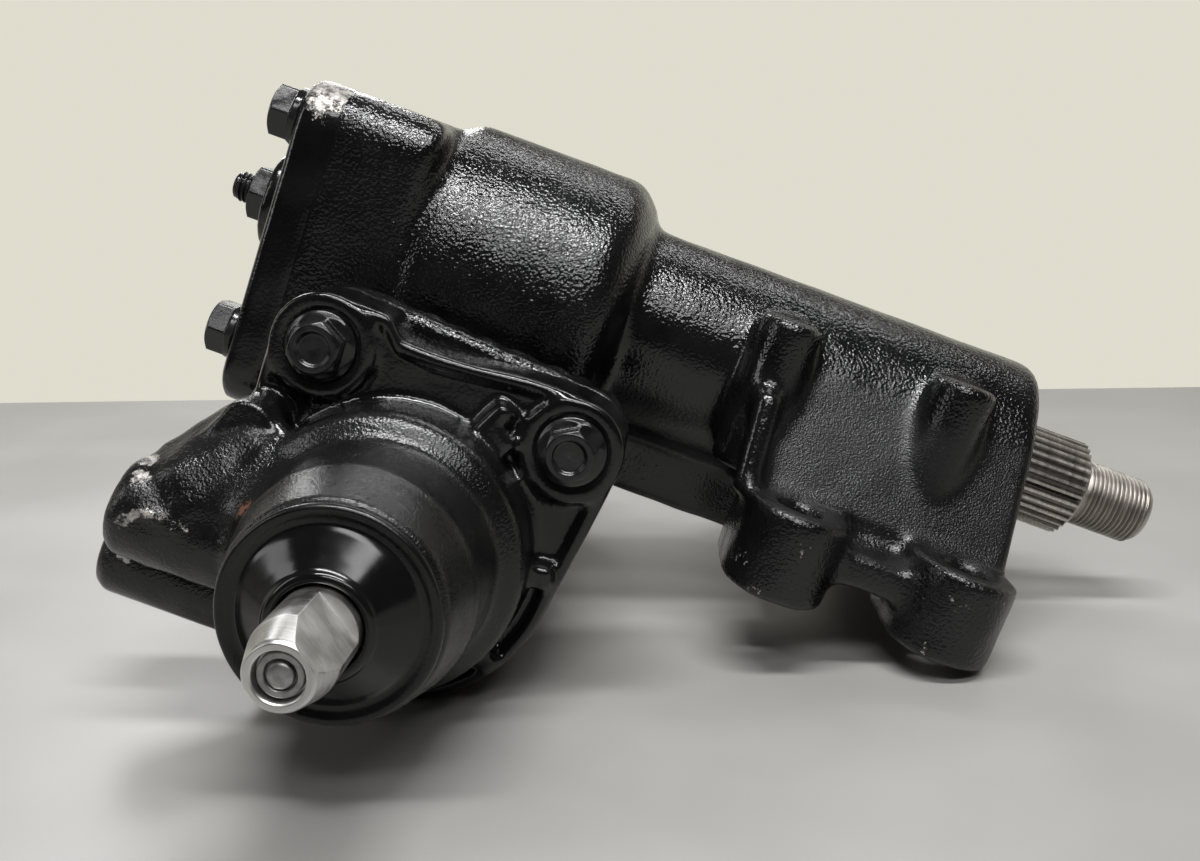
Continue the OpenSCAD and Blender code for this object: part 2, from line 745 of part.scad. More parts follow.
module valve_housing_seal() {
    color("#111111") place() on_joint() ring(2.5, bore_r + 3.8, bore_r + 1.5);
}

module thrust_bearing() {
    color("#a5a7aa") place() on_joint(head_l1 + 0.05)
        ring(head_cavity_l - head_l1 - 0.05, head_r, sleeve_r + 0.6);
}

module input_bearing() {
    color("#a0a2a5") place() on_joint(input_bearing_l0 + 0.5)
        ring(input_bearing_l1 - input_bearing_l0 - 0.5, input_bearing_r, input_r + run_fit);
}

module input_oil_seal() {
    color("#151515") place() on_joint(input_bearing_l1)
        ring(input_seal_l1 - input_bearing_l1, input_seal_r, input_r + run_fit);
}

module input_retaining_ring() {
    color("#8b8d90") place() on_joint(input_seal_l1 + 0.3)
        ring(input_clip_l1 - input_seal_l1 - 0.2, input_seal_r + 1, input_r + 3);
}

// Rubber cap with a pressed-in skirt, a flat rim and a cone down to the shaft lip
module input_dust_seal() {
    lip_r = input_r + 0.3;
    color("#101010") place() on_joint(dust_bore_l0) rotate_extrude() {
        depth = valve_reach - dust_bore_l0;
        polygon([
            [dust_bore_r - 2.5, 0], [dust_bore_r - seat_fit, 0], [dust_bore_r - seat_fit, depth],
            [dust_rim_r, depth], [dust_rim_r, depth + dust_rim_t - 0.8],
            [dust_rim_r - 0.8, depth + dust_rim_t],
            [dust_cone_r, depth + dust_rim_t], [lip_r + 3, depth + dust_rim_t + dust_cone_h - 1],
            [lip_r + 1, depth + dust_rim_t + dust_cone_h], [lip_r, depth + dust_rim_t + dust_cone_h - 1],
            [lip_r + 0.8, depth + dust_rim_t + dust_cone_h - 3], [dust_bore_r - 2.5, depth]
        ]);
    }
}

// Pressed-in tube seat at the bottom of a port, with a coned nose and a through hole
module port_seat(spot, reach, d) {
    seat_r = d / 2 - port_seat_wall - seat_fit;
    on_joint(spot[1]) translate([port_depth - reach, spot[0], 0]) rotate([0, 90, 0]) difference() {
        union() {
            translate([0, 0, port_seat_nose]) cylinder(h = port_seat_h, r = seat_r);
            cylinder(h = port_seat_nose, r1 = seat_r - 2.4, r2 = seat_r - 0.6);
        }
        translate([0, 0, -eps]) cylinder(h = port_seat_nose + port_seat_h + 2 * eps, r = d / 8);
    }
}

module pressure_port_seat() {
    color("#b08d4a") place() port_seat(pressure_place, pressure_reach, pressure_port_d);
}

module return_port_seat() {
    color("#b08d4a") place() port_seat(return_place, return_reach, return_port_d);
}

// One sector tooth, pointing down, with involute flanks from the base circle to the tip
module sector_tooth() {
    steps = 6;
    radii = [for (i = [0 : steps]) base_r + 0.02 + (sector_tip_r - base_r - 0.02) * i / steps];
    side = [for (r = radii) r * [sin(flank_angle(r)), -cos(flank_angle(r))]];
    foot = (sector_root_r - 1) * [sin(flank_angle(radii[0])), -cos(flank_angle(radii[0]))];
    half = concat([foot], side);
    polygon(concat(half, [for (i = [len(half) - 1 : -1 : 0]) [-half[i][0], half[i][1]]]));
}

// Three-tooth sector on a round hub
module sector_section() {
    reach = 1.5 * tooth_angle;
    circle(sector_hub_r);
    intersection() {
        circle(sector_root_r);
        polygon([[0, 0], for (a = [-reach, 0, reach]) 2 * sector_root_r * [sin(a), -cos(a)]]);
    }
    for (i = [-1 : 1]) rotate(i * tooth_angle) sector_tooth();
}

module spline_section() {
    tip = spline_d / 2;
    root = tip - spline_depth;
    step = 360 / spline_teeth;
    polygon([for (i = [0 : spline_teeth - 1], k = [[-0.32, root], [-0.14, tip], [0.14, tip], [0.32, root]])
        k[1] * [cos(step * (i + k[0])), sin(step * (i + k[0]))]]);
}

module sector_shaft() {
    root = spline_d / 2 - spline_depth;
    color("#8d8f92") place() difference() {
        union() {
            on_sector(sector_end_x) cylinder(h = neck_end + 1 - sector_end_x, r = journal_r);
            draw_x(-gear_half, gear_half) sector_section();
            on_sector(neck_end + 1) cylinder(h = spline_x0 - neck_end - 1, r1 = journal_r, r2 = root);
            draw_x(spline_x0, spline_x1 - 2) spline_section();
            on_sector(spline_x1 - 2) cylinder(h = 2, r1 = root, r2 = root - 1.5);
            on_sector(spline_x1) cylinder(h = 2 + eps, r = thread_d / 2 - 1.4);
            on_sector(spline_x1 + 2) cylinder(h = thread_len - 1.5, r = thread_d / 2);
            on_sector(thread_x1 - 1.5) cylinder(h = 1.5, r1 = thread_d / 2, r2 = thread_d / 2 - 1.5);
        }
        on_sector(sector_end_x - eps) cylinder(h = slot_x1 - sector_end_x + eps, r = slot_r);
    }
}

module adjuster_retainer() {
    color("#77797c") place() on_sector(sector_end_x) ring(retainer_t, slot_r - seat_fit, adjuster_r + 0.5);
}

// Rack spaces across the piston, each a straight-sided trapezoid
module rack_space() {
    slope = tan(pressure_angle);
    half = tooth_pitch / 4;
    up = tooth_module + 2;
    polygon([
        [-half - up * slope, rack_pitch_h + up], [half + up * slope, rack_pitch_h + up],
        [half - tooth_depth * slope, rack_pitch_h - tooth_depth],
        [-half + tooth_depth * slope, rack_pitch_h - tooth_depth]
    ]);
}

module rack_piston() {
    color("#6f7175") place() difference() {
        on_worm(-nut_front) cylinder(h = nut_front + nut_back, r = nut_r);
        on_worm(-nut_front - eps) cylinder(h = nut_front + nut_back - nut_plug_t + eps, r = nut_bore_r);
        on_worm(nut_back - nut_plug_t - eps) cylinder(h = nut_plug_t + 2 * eps, r = nut_bore_r + 4);
        translate([0, 0, -centre_distance]) draw_x(-nut_r, nut_r)
            for (i = [-1 : 1]) translate([i * tooth_pitch, 0]) rack_space();
        on_worm(nut_back - 18) ring(4, nut_r + eps, nut_r - 3);
        guide_pocket();
    }
}

// Pocket under the piston for the ball return guide, with its passages and clamp seat
module guide_pocket() {
    drop = -centre_distance - nut_r;
    slot_half = guide_tube_r + 0.4;
    slot_h = nut_r - guide_drop + guide_tube_r + 0.3;
    translate([-slot_half, circuit_y0 - slot_half, drop - eps])
        cube([2 * slot_half, circuit_length + 2 * slot_half, slot_h + eps]);
    translate([-clamp_half_w - 0.4, clamp_mid_y - clamp_len / 2 - 0.4, drop - eps])
        cube([2 * clamp_half_w + 0.8, clamp_len + 0.8, guide_seat_z - drop + eps]);
    for (y = [circuit_y0, circuit_y0 + circuit_length])
        translate([0, y, drop]) cylinder(h = nut_r - nut_bore_r + 3, r = guide_tube_r + 0.3);
    for (side = [-1, 1])
        translate([side * guide_screw_x, clamp_mid_y, guide_seat_z - eps])
            cylinder(h = guide_screw_len + 2, r = guide_screw_r + seat_fit);
}

module piston_end_plug() {
    color("#5c5e62") place() difference() {
        on_worm(nut_back - nut_plug_t) cylinder(h = nut_plug_t, r = nut_bore_r + 4 - seat_fit);
        on_worm(nut_back - 4) cylinder(h = 4 + eps, r = 7, $fn = 6);
    }
}

module piston_ring() {
    color("#2b3a4a") place() on_worm(nut_back - 17.8) ring(3.6, nut_r, nut_r - 2.9);
}

module balls() {
    color("#c9ccd0") place() on_worm(circuit_y0) for (i = [0 : ball_count - 1])
        translate([
            ball_path_r * cos(ball_phase + i * ball_step),
            ball_path_r * sin(ball_phase + i * ball_step),
            worm_lead * i * ball_step / 360
        ]) sphere(r = ball_r, $fn = 32);
}

// Ball path of the return guide: two uprights and the tube between them
module guide_path(r) {
    drop = -centre_distance - guide_drop;
    for (y = [circuit_y0, circuit_y0 + circuit_length])
        translate([0, y, drop]) cylinder(h = guide_drop - nut_bore_r, r = r);
    translate([0, circuit_y0 - r, drop]) rotate([-90, 0, 0]) cylinder(h = circuit_length + 2 * r, r = r);
}

module ball_guide() {
    color("#94969a") place() difference() {
        guide_path(guide_tube_r);
        guide_path(ball_r + 0.1);
        translate([0, circuit_y0, -centre_distance - nut_bore_r - eps]) cylinder(h = 1, r = ball_r + 0.1);
        translate([0, circuit_y0 + circuit_length, -centre_distance - nut_bore_r - eps])
            cylinder(h = 1, r = ball_r + 0.1);
    }
}

module guide_clamp() {
    color("#7d7f83") place() difference() {
        translate([-clamp_half_w, clamp_mid_y - clamp_len / 2, guide_seat_z - clamp_t])
            cube([2 * clamp_half_w, clamp_len, clamp_t]);
        for (side = [-1, 1])
            translate([side * guide_screw_x, clamp_mid_y, guide_seat_z - clamp_t - eps])
                cylinder(h = clamp_t + 2 * eps, r = guide_screw_r + 0.2);
    }
}

module guide_clamp_screws() {
    color("#4a4c50") place() for (side = [-1, 1])
        translate([side * guide_screw_x, clamp_mid_y, guide_seat_z - clamp_t]) {
            translate([0, 0, -clamp_t]) cylinder(h = clamp_t, r = 1.8 * guide_screw_r);
            cylinder(h = clamp_t + guide_screw_len, r = guide_screw_r);
        }
}

// Radius of the worm at an angle from the groove's middle: a round groove of the ball's size,
// seen in a cut across the worm, where the lead turns its width into an angle
function worm_radius(a) = let (z = worm_lead * a / 360)
    abs(z) >= groove_r ? worm_r : min(worm_r, ball_path_r - sqrt(groove_r * groove_r - z * z));

// Worm with one helical ball groove, drawn out along its axis with a steady twist
module worm_thread() {
    length = worm_tip_y - worm_thread_y0;
    turns = length / worm_lead;
    step = 360 / worm_facets;
    linear_extrude(height = length, twist = -360 * turns, slices = ceil(worm_slices * turns))
        polygon([for (i = [0 : worm_facets - 1]) let (a = step * i - 180) worm_radius(a) * [cos(a), sin(a)]]);
}

module worm_shaft() {
    color("#85878b") place() difference() {
        union() {
            on_joint(head_l0) cylinder(h = head_l1 - head_l0, r = head_r);
            on_worm(joint_y - head_l1) cylinder(h = worm_thread_y0 - joint_y + head_l1, r = worm_r - 1);
            on_worm(worm_thread_y0) worm_thread();
        }
        on_worm(joint_y - head_l1 - eps) cylinder(h = bar_end + head_l1 + eps, r = bar_r + run_fit);
        on_joint(sleeve_pin_l0) translate(sleeve_pin_place)
            cylinder(h = sleeve_pin_len, r = sleeve_pin_r + seat_fit);
    }
}

module valve_sleeve() {
    color("#a8aaad") place() difference() {
        on_joint(head_l1) cylinder(h = sleeve_l1 - head_l1, r = sleeve_r);
        on_joint(head_l1 - eps) cylinder(h = sleeve_l1 + 2 * eps, r = spool_r + run_fit);
        for (l = sleeve_ring_places) on_joint(l) ring(2.4, sleeve_r + eps, sleeve_r - 1.8);
        for (a = [0 : 60 : 300], l = [sleeve_ring_places[0] + 7, sleeve_ring_places[1] + 7])
            on_joint(l) rotate(a) rotate([0, 90, 0]) cylinder(h = sleeve_r + 2, r = 1.8);
        on_joint(sleeve_pin_l0) translate(sleeve_pin_place)
            cylinder(h = sleeve_pin_len + 0.2, r = sleeve_pin_r + seat_fit);
    }
}

module sleeve_rings() {
    color("#30343a") place() for (l = sleeve_ring_places)
        on_joint(l + 0.1) ring(2.2, sleeve_r, sleeve_r - 1.7);
}

// Pin that locks the valve sleeve to the worm head
module sleeve_pin() {
    color("#b5b7ba") place() on_joint(sleeve_pin_l0) translate(sleeve_pin_place)
        cylinder(h = sleeve_pin_len, r = sleeve_pin_r);
}

module bar_pin_hole() {
    on_joint(bar_pin_l) translate([-input_r - eps, 0, 0]) rotate([0, 90, 0])
        cylinder(h = 2 * (input_r + eps), r = bar_pin_r + seat_fit);
}

module input_shaft() {
    color("#c6c8ca") place() difference() {
        union() {
            on_joint(spool_l0) cylinder(h = sleeve_l1 - spool_l0, r = spool_r);
            on_joint(sleeve_l1 - eps) cylinder(h = tip_l - tip_cone_l - sleeve_l1 + eps, r = input_r);
            on_joint(tip_l - tip_cone_l) cylinder(h = tip_cone_l - 0.8, r1 = input_r, r2 = tip_face_r + 0.6);
            on_joint(tip_l - 0.8) cylinder(h = 0.8, r1 = tip_face_r + 0.6, r2 = tip_face_r);
        }
        on_joint(spool_l0 - eps) cylinder(h = tip_l, r = bar_bore_r);
        on_joint(tip_l - 3) cylinder(h = 4, r = bar_r + 2.2);
        for (s = [0, 180]) on_joint(tip_l - flat_len) rotate(flat_turn + s)
            translate([input_r - input_flat_depth, -input_r, 0]) cube([input_r, 2 * input_r, flat_len + 1]);
        for (a = [0 : 60 : 300])
            on_joint(spool_l0 + 8) rotate(a) translate([spool_r, 0, 0]) cylinder(h = 24, r = 2);
        bar_pin_hole();
    }
}

module torsion_bar() {
    color("#b9bbbe") place() difference() {
        union() {
            on_worm(joint_y - tip_l + 1.5) cylinder(h = tip_l - 1.5 + bar_end - head_l1, r = bar_r);
            on_joint(tip_l - 3) ring(1.2, bar_r + 2.1, bar_r - 0.5);
        }
        bar_pin_hole();
    }
}

// Cross pin that locks the torsion bar to the input shaft
module torsion_bar_pin() {
    color("#8f9194") place() on_joint(bar_pin_l) translate([0.3 - input_r, 0, 0]) rotate([0, 90, 0])
        cylinder(h = 2 * input_r - 0.6, r = bar_pin_r);
}

gear_housing();
side_cover();
side_cover_bolts();
side_cover_seal();
adjuster_screw();
adjuster_lock_nut();
cover_bearing();
neck_inner_bearing();
neck_outer_bearing();
sector_oil_seal();
sector_retaining_ring();
sector_dust_seal();
valve_housing();
valve_housing_bolts();
valve_housing_seal();
thrust_bearing();
input_bearing();
input_oil_seal();
input_retaining_ring();
input_dust_seal();
pressure_port_seat();
return_port_seat();
sector_shaft();
adjuster_retainer();
rack_piston();
piston_end_plug();
piston_ring();
balls();
ball_guide();
guide_clamp();
guide_clamp_screws();
worm_shaft();
valve_sleeve();
sleeve_rings();
sleeve_pin();
input_shaft();
torsion_bar();
torsion_bar_pin();
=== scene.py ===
"""A hydraulic recirculating-ball steering gearbox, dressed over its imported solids.

Shapes are worked out in box coordinates, in millimetres: X along the output shaft, Y along the
worm and Z up, with the output shaft's axis at Y = Z = 0. from_box() puts them in the row frame.
"""
import json

import bmesh
import bpy
import numpy as np
import openvdb as vdb
from mathutils import Matrix, Vector


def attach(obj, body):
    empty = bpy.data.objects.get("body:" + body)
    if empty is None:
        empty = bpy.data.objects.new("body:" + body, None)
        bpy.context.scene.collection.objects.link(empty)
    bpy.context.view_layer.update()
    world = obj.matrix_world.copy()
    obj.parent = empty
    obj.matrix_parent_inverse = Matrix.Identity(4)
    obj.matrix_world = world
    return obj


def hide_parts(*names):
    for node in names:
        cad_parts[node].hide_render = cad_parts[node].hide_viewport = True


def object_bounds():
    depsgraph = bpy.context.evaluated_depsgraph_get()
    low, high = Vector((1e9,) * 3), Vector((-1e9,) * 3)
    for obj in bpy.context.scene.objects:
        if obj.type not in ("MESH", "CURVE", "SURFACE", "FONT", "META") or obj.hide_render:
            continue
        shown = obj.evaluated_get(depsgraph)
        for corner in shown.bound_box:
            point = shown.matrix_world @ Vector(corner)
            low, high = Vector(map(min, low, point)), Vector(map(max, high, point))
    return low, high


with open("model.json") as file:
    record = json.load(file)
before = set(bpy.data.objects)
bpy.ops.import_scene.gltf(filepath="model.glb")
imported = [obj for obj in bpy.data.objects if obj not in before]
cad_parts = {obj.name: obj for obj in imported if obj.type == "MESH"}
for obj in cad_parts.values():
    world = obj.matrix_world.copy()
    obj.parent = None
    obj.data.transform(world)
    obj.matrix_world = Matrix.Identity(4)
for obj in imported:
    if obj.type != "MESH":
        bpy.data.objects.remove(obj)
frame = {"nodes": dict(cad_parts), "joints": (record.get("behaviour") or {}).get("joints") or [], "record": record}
solid_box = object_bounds()

# Place of the box in the row frame

JOINTS = {joint["name"]: joint for joint in frame["joints"]}
ALONG = np.array(JOINTS["sector_rotation"]["axis"], float)
ALONG /= np.linalg.norm(ALONG)
ACROSS = np.array([0.0, 1.0, 0.0])
UPWARD = np.cross(ALONG, ACROSS)
TURN = np.array([ALONG, ACROSS, UPWARD])
WORM = 1000 * TURN @ np.array(JOINTS["worm_rotation"]["pos_m"], float)
SHIFT = -WORM[0]          # box X of the row origin, the end of the output spline
WORM_Z = WORM[2]          # height of the worm's axis under the output shaft's
TILT = np.arctan2(UPWARD[0], UPWARD[2])
FLOOR = solid_box[0][2]


def from_box(points):
    """Row-frame metres of box points: the box axes' directions times (x - SHIFT, y, z)."""
    return (np.asarray(points, float) - [SHIFT, 0, 0]) @ TURN / 1000


def to_box(points):
    """Box millimetres of row-frame points, the inverse of from_box."""
    return 1000 * np.asarray(points, float) @ TURN.T + [SHIFT, 0, 0]


# Sizes shared with the solids (mm)

JOINT_Y = -72.133         # face between the two castings; "forward" is measured from it, along -Y
NECK_END = 171.5          # output end of the gear housing
SPLINE_END = 199.5
THREAD_R = 11.0
VALVE_REACH = 76.0        # forward end of the valve housing's nose
BOSS_FACE = 19.5          # seats of the valve housing bolts, forward
FLANGE_TURN = np.radians(-3.0)        # slope of the line through the flange's two upper bolts
FLANGE_FRAME = np.array([[np.cos(FLANGE_TURN), np.sin(FLANGE_TURN)],       # along the line
                         [-np.sin(FLANGE_TURN), np.cos(FLANGE_TURN)]])     # square to it
PORT_UP, PORT_FORWARD = -9, 33        # axis of the pressure port
PORT_R, PORT_LEDGE = 7.6, -54         # inside its thread, and the X of the ledge round its tube seat
SEAT_R, SEAT_BACK = 6.0, -46.5        # inside the ledge, and the X behind the tube seat
HAIRLINE = 0.2            # how far the joint of the cover is drawn in
COVER_SEAT = -59.0        # joint between the cover and its block
COVER_FACE = -71.0        # outer face of the side cover
HUB_FACE = -84.0          # outer face of the cover's hub
INPUT_R = 9.5
FLAT_FROM = 88.0          # start of the input shaft's drive flats, forward
FLAT_OUT = INPUT_R - 2.8  # the flats' distance from the shaft's axis
FLAT_TURN = np.radians(55)

VALVE_AXES = ((0, -1, 0), (1, 0, 0), (0, 0, 1))      # forward, then right and up of the joint face
COVER_AXES = ((-1, 0, 0), (0, 0, 1), (0, 1, 0))      # out of the cover, then up and back
OUTPUT_AXES = ((1, 0, 0), (0, 1, 0), (0, 0, 1))


def joint_point(right, up, forward):
    """Box point of a place on the joint face: right and up from the worm's axis, forward from the face."""
    return np.stack(np.broadcast_arrays(np.asarray(right, float), JOINT_Y - np.asarray(forward, float),
                                        WORM_Z + np.asarray(up, float)), axis=-1)


# Mesh helpers

def piece(name, points, faces, body, slot, finish, stands_for=(), **fields):
    """A smooth-shaded piece from box points, which rides on a body and stands for CAD nodes."""
    mesh = bpy.data.meshes.new(name)
    mesh.from_pydata(from_box(points).astype(np.float32), [], faces)
    mesh.shade_smooth()
    for key, values in fields.items():
        layer = mesh.attributes.new(key, "FLOAT", "POINT")
        layer.data.foreach_set("value", np.asarray(values, np.float32))
    obj = bpy.data.objects.new(name, mesh)
    bpy.context.scene.collection.objects.link(obj)
    obj.data.materials.append(finish)
    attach(obj, body)
    if stands_for:
        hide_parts(*stands_for)
    return obj


def angles(count):
    """The angles of count even steps round a turn."""
    return np.linspace(0, 2 * np.pi, count, endpoint=False)


def circle(count, first, second):
    """Directions of count even steps round a turn: cos(angle) * first + sin(angle) * second."""
    angle = angles(count)
    return np.cos(angle)[:, None] * np.asarray(first) + np.sin(angle)[:, None] * np.asarray(second)


def lathe(along, radius, origin, axis, first, second):
    """Points and faces of r(along, angle) about an axis, from pole to pole.

    A point is origin + along * axis + r * (cos(angle) * first + sin(angle) * second); the first and
    last rows are drawn in to single poles. radius is an array of rows (along) by columns (angle).
    """
    along, radius = np.asarray(along, float), np.asarray(radius, float)
    rows, cols = radius.shape
    spine = np.asarray(origin, float) + along[:, None] * np.asarray(axis, float)
    body = spine[:, None, :] + radius[:, :, None] * circle(cols, first, second)[None]
    points = np.concatenate([spine[:1], body.reshape(-1, 3), spine[-1:]])
    index = 1 + np.arange(rows * cols).reshape(rows, cols)
    side = np.roll(index, -1, axis=1)
    quads = np.stack([index[:-1], side[:-1], side[1:], index[1:]], axis=-1).reshape(-1, 4)
    pole = np.zeros(cols, int)
    start = np.stack([pole, side[0], index[0]], axis=-1)
    end = np.stack([pole + len(points) - 1, index[-1], side[-1]], axis=-1)
    return points, quads.tolist() + start.tolist() + end.tolist()


def ring_lathe(profile, count, origin, axis, first, second):
    """A closed ring: a closed (along, radius) profile carried round the axis, its last point left out."""
    loop = profile[:-1]
    spine = np.asarray(origin, float) + loop[:, :1] * np.asarray(axis, float)
    points = (spine[:, None] + loop[:, 1][:, None, None] * circle(count, first, second)[None]).reshape(-1, 3)
    index = np.arange(len(points)).reshape(len(loop), count)
    side, later = np.roll(index, -1, axis=1), np.roll(index, -1, axis=0)
    corner = np.roll(side, -1, axis=0)
    return points, np.stack([index, side, corner, later], axis=-1).reshape(-1, 4)


def carried(profile, count):
    """The radii of a turned profile, the same at each of count angles."""
    return np.repeat(profile[:, 1:], count, axis=1)


def resampled(profile, step):
    """A polyline (along, radius) with points added so that no stretch is longer than step."""
    profile = np.asarray(profile, float)
    lengths = np.linalg.norm(np.diff(profile, axis=0), axis=1)
    counts = np.maximum(np.ceil(lengths / step), 1).astype(int)
    stretch = np.repeat(np.arange(len(counts)), counts)
    share = np.concatenate([np.arange(n) / n for n in counts])[:, None]
    spread = profile[stretch] * (1 - share) + profile[stretch + 1] * share
    return np.concatenate([spread, profile[-1:]])


def eased(profile, corner, step):
    """A profile with its corners rounded: each point is the mean of its neighbours within corner."""
    spread = resampled(profile, step)
    reach = max(int(corner / step), 1)
    padded = np.pad(spread, ((reach, reach), (0, 0)), mode="edge")
    padded[:reach] = 2 * spread[0] - spread[1:reach + 1][::-1]
    padded[-reach:] = 2 * spread[-1] - spread[-reach - 1:-1][::-1]
    total = np.cumsum(np.concatenate([np.zeros((1, 2)), padded]), axis=0)
    return (total[2 * reach + 1:] - total[:-2 * reach - 1]) / (2 * reach + 1)


def thinned(profile, fine_from):
    """The rows of a profile that shape it: those where it turns, those beside them, the ends, and all
    the rows past fine_from, where flats cut the turned shape."""
    turns = np.zeros(len(profile), bool)
    turns[[0, -1]] = True
    turns[1:-1] = np.linalg.norm(np.diff(profile, 2, axis=0), axis=1) > 1e-5
    beside = turns.copy()
    beside[1:] |= turns[:-1]
    beside[:-1] |= turns[1:]
    return profile[beside | (profile[:, 0] > fine_from)]


def node_shape(name):
    """Box points and triangles of a CAD node, with its doubled corners merged."""
    mesh = frame["nodes"][name].data
    points = np.empty(3 * len(mesh.vertices), np.float32)
    mesh.vertices.foreach_get("co", points)
    mesh.calc_loop_triangles()
    triangles = np.empty(3 * len(mesh.loop_triangles), np.int32)
    mesh.loop_triangles.foreach_get("vertices", triangles)
    rounded = np.round(points.reshape(-1, 3) * 1e6).astype(np.int64)
    keys, place = np.unique(rounded, axis=0, return_inverse=True)
    return to_box(keys / 1e6), place.reshape(-1)[triangles].reshape(-1, 3)


def halved(quads):
    """Two triangles from each quad."""
    return np.concatenate([quads[:, [0, 1, 2]], quads[:, [0, 2, 3]]])


def triangles_of(faces):
    """Triangles of a list of triangles and quads."""
    quads = np.array([f for f in faces if len(f) == 4], int).reshape(-1, 4)
    rest = np.array([f for f in faces if len(f) == 3], int).reshape(-1, 3)
    return np.concatenate([halved(quads), rest])


def bar(start, end, radius, sides=48):
    """A closed round bar between two points, as points and triangles."""
    start, end = np.asarray(start, float), np.asarray(end, float)
    reach = np.linalg.norm(end - start)
    axis = (end - start) / reach
    first = np.cross(axis, [0, 0, 1] if abs(axis[2]) < 0.9 else [1, 0, 0])
    first /= np.linalg.norm(first)
    points, faces = lathe([0, reach], np.full((2, sides), radius), start, axis, first, np.cross(axis, first))
    return points, triangles_of(faces)


def joint_bars(rows):
    """Bars whose ends are given as (right, up, forward) of the joint face."""
    return [bar(joint_point(*start), joint_point(*end), radius) for start, end, radius in rows]


def joined(*shapes):
    """One list of points and triangles from several closed shapes."""
    starts = np.cumsum([0] + [len(points) for points, _ in shapes[:-1]])
    return (np.concatenate([points for points, _ in shapes]),
            np.concatenate([triangles + start for (_, triangles), start in zip(shapes, starts)]))


def shifted(points, faces, voxel, distance, quads=False):
    """The surface at a distance outside a closed shape, from a level set with cells of size voxel."""
    grid = vdb.FloatGrid.createLevelSetFromPolygons(
        points.astype(np.float32), transform=vdb.createLinearTransform(voxel),
        halfWidth=abs(distance) / voxel + 3, **{"quads" if quads else "triangles": faces.astype(np.uint32)})
    return grid.convertToQuads(isovalue=distance)


def edges_of(quads):
    """The four edges of each quad, as pairs of points."""
    return np.concatenate([quads[:, [0, 1]], quads[:, [1, 2]], quads[:, [2, 3]], quads[:, [3, 0]]])


def outer_only(points, quads):
    """The largest shell, which is the outer one: points take the lowest number they are joined to."""
    label = np.arange(len(points))
    edges = edges_of(quads)
    for _ in range(400):
        low = np.minimum(label[edges[:, 0]], label[edges[:, 1]])
        new = label.copy()
        np.minimum.at(new, edges[:, 0], low)
        np.minimum.at(new, edges[:, 1], low)
        new = new[new]
        new = new[new]
        if np.array_equal(new, label):
            break
        label = new
    _, place, count = np.unique(label, return_inverse=True, return_counts=True)
    keep = (count == count.max())[place]
    number = np.cumsum(keep) - 1
    return points[keep], number[quads[keep[quads[:, 0]]]]


def normals_of(points, quads):
    """Unit vertex normals, from the cross products of the faces' diagonals."""
    face = np.cross(points[quads[:, 2]] - points[quads[:, 0]], points[quads[:, 3]] - points[quads[:, 1]])
    total = np.zeros_like(points)
    for corner in range(4):
        np.add.at(total, quads[:, corner], face)
    return total / np.maximum(np.linalg.norm(total, axis=1), 1e-12)[:, None]


def neighbour_mean(values, quads):
    """Mean of a vertex field over the vertices joined by edges."""
    total = np.zeros_like(values)
    count = np.zeros(len(values))
    for a, b in ((0, 1), (1, 2), (2, 3), (3, 0)):
        np.add.at(total, quads[:, a], values[quads[:, b]])
        np.add.at(total, quads[:, b], values[quads[:, a]])
        np.add.at(count, quads[:, a], 1)
        np.add.at(count, quads[:, b], 1)
    return total / (count[:, None] if values.ndim == 2 else count)


def rise(values, start, end):
    """0 up to start, 1 from end on, and a straight line between."""
    return np.clip((values - start) / (end - start), 0, 1)


def lumps(points, longest, shortest, seed):
    """A smooth unevenness of about -1 to 1: a sum of sine waves in seeded directions."""
    waves = 14
    rng = np.random.default_rng(seed)
    heading = rng.normal(size=(waves, 3))
    heading /= np.linalg.norm(heading, axis=1)[:, None]
    heading *= (2 * np.pi / rng.uniform(shortest, longest, waves))[:, None]
    return np.sin(points @ heading.T + rng.uniform(0, 2 * np.pi, waves)).sum(1) / 5


def near(points, places):
    """How close points are to listed (place, reach) spots: the largest of exp(-(distance / reach)^2)."""
    closeness = [np.exp(-((points - np.array(place)) ** 2).sum(1) / reach ** 2) for place, reach in places]
    return np.max(closeness, axis=0)


def near_joint(points, places):
    """near(), for spots given as (right, up, forward) of the joint face."""
    return near(points, [(joint_point(*place), reach) for place, reach in places])


def skin(shape, voxel, fillet, edge):
    """A casting's skin over closed shapes: inner corners filled to a radius, outer edges rounded off.

    The surface at +fillet is measured again and brought in by fillet + edge, which fills inner corners;
    measured once more and brought out by edge, it has rounded outer edges. The result is evened out.
    Also returns the normals and how sharply each point bulges.
    """
    points, quads = shifted(*shape, voxel, fillet)
    points, quads = shifted(points, quads, voxel, -fillet - edge, True)
    points, quads = shifted(points, quads, voxel, edge, True)
    points, quads = outer_only(points.astype(float), quads[:, ::-1].astype(int))
    for _ in range(2):
        points = 0.5 * points + 0.5 * neighbour_mean(points, quads)
    normals = normals_of(points, quads)
    bulge = -((neighbour_mean(points, quads) - points) * normals).sum(1) / voxel ** 2
    for _ in range(2):
        bulge = 0.5 * bulge + 0.5 * neighbour_mean(bulge, quads)
    return points, quads, normals, np.clip(bulge * 2.2 * edge, 0, 1)


# Materials

def adder(tree):
    """A short call that adds a node to a tree: its inputs are joined to sockets or set to values."""
    def add(kind, _inputs=None, **settings):
        node = tree.nodes.new("ShaderNode" + kind)
        for key, value in settings.items():
            setattr(node, key, value)
        for key, value in (_inputs or {}).items():
            if isinstance(value, bpy.types.NodeSocket):
                tree.links.new(value, node.inputs[key])
            else:
                node.inputs[key].default_value = value
        return node
    return add


def shader(name):
    """A node material and its shader, with short calls to add and join nodes."""
    material = bpy.data.materials.new(name)
    material.use_nodes = True
    tree = material.node_tree
    principled = tree.nodes["Principled BSDF"]

    def join(socket, target):
        tree.links.new(socket, principled.inputs[target])

    return material, principled, adder(tree), join


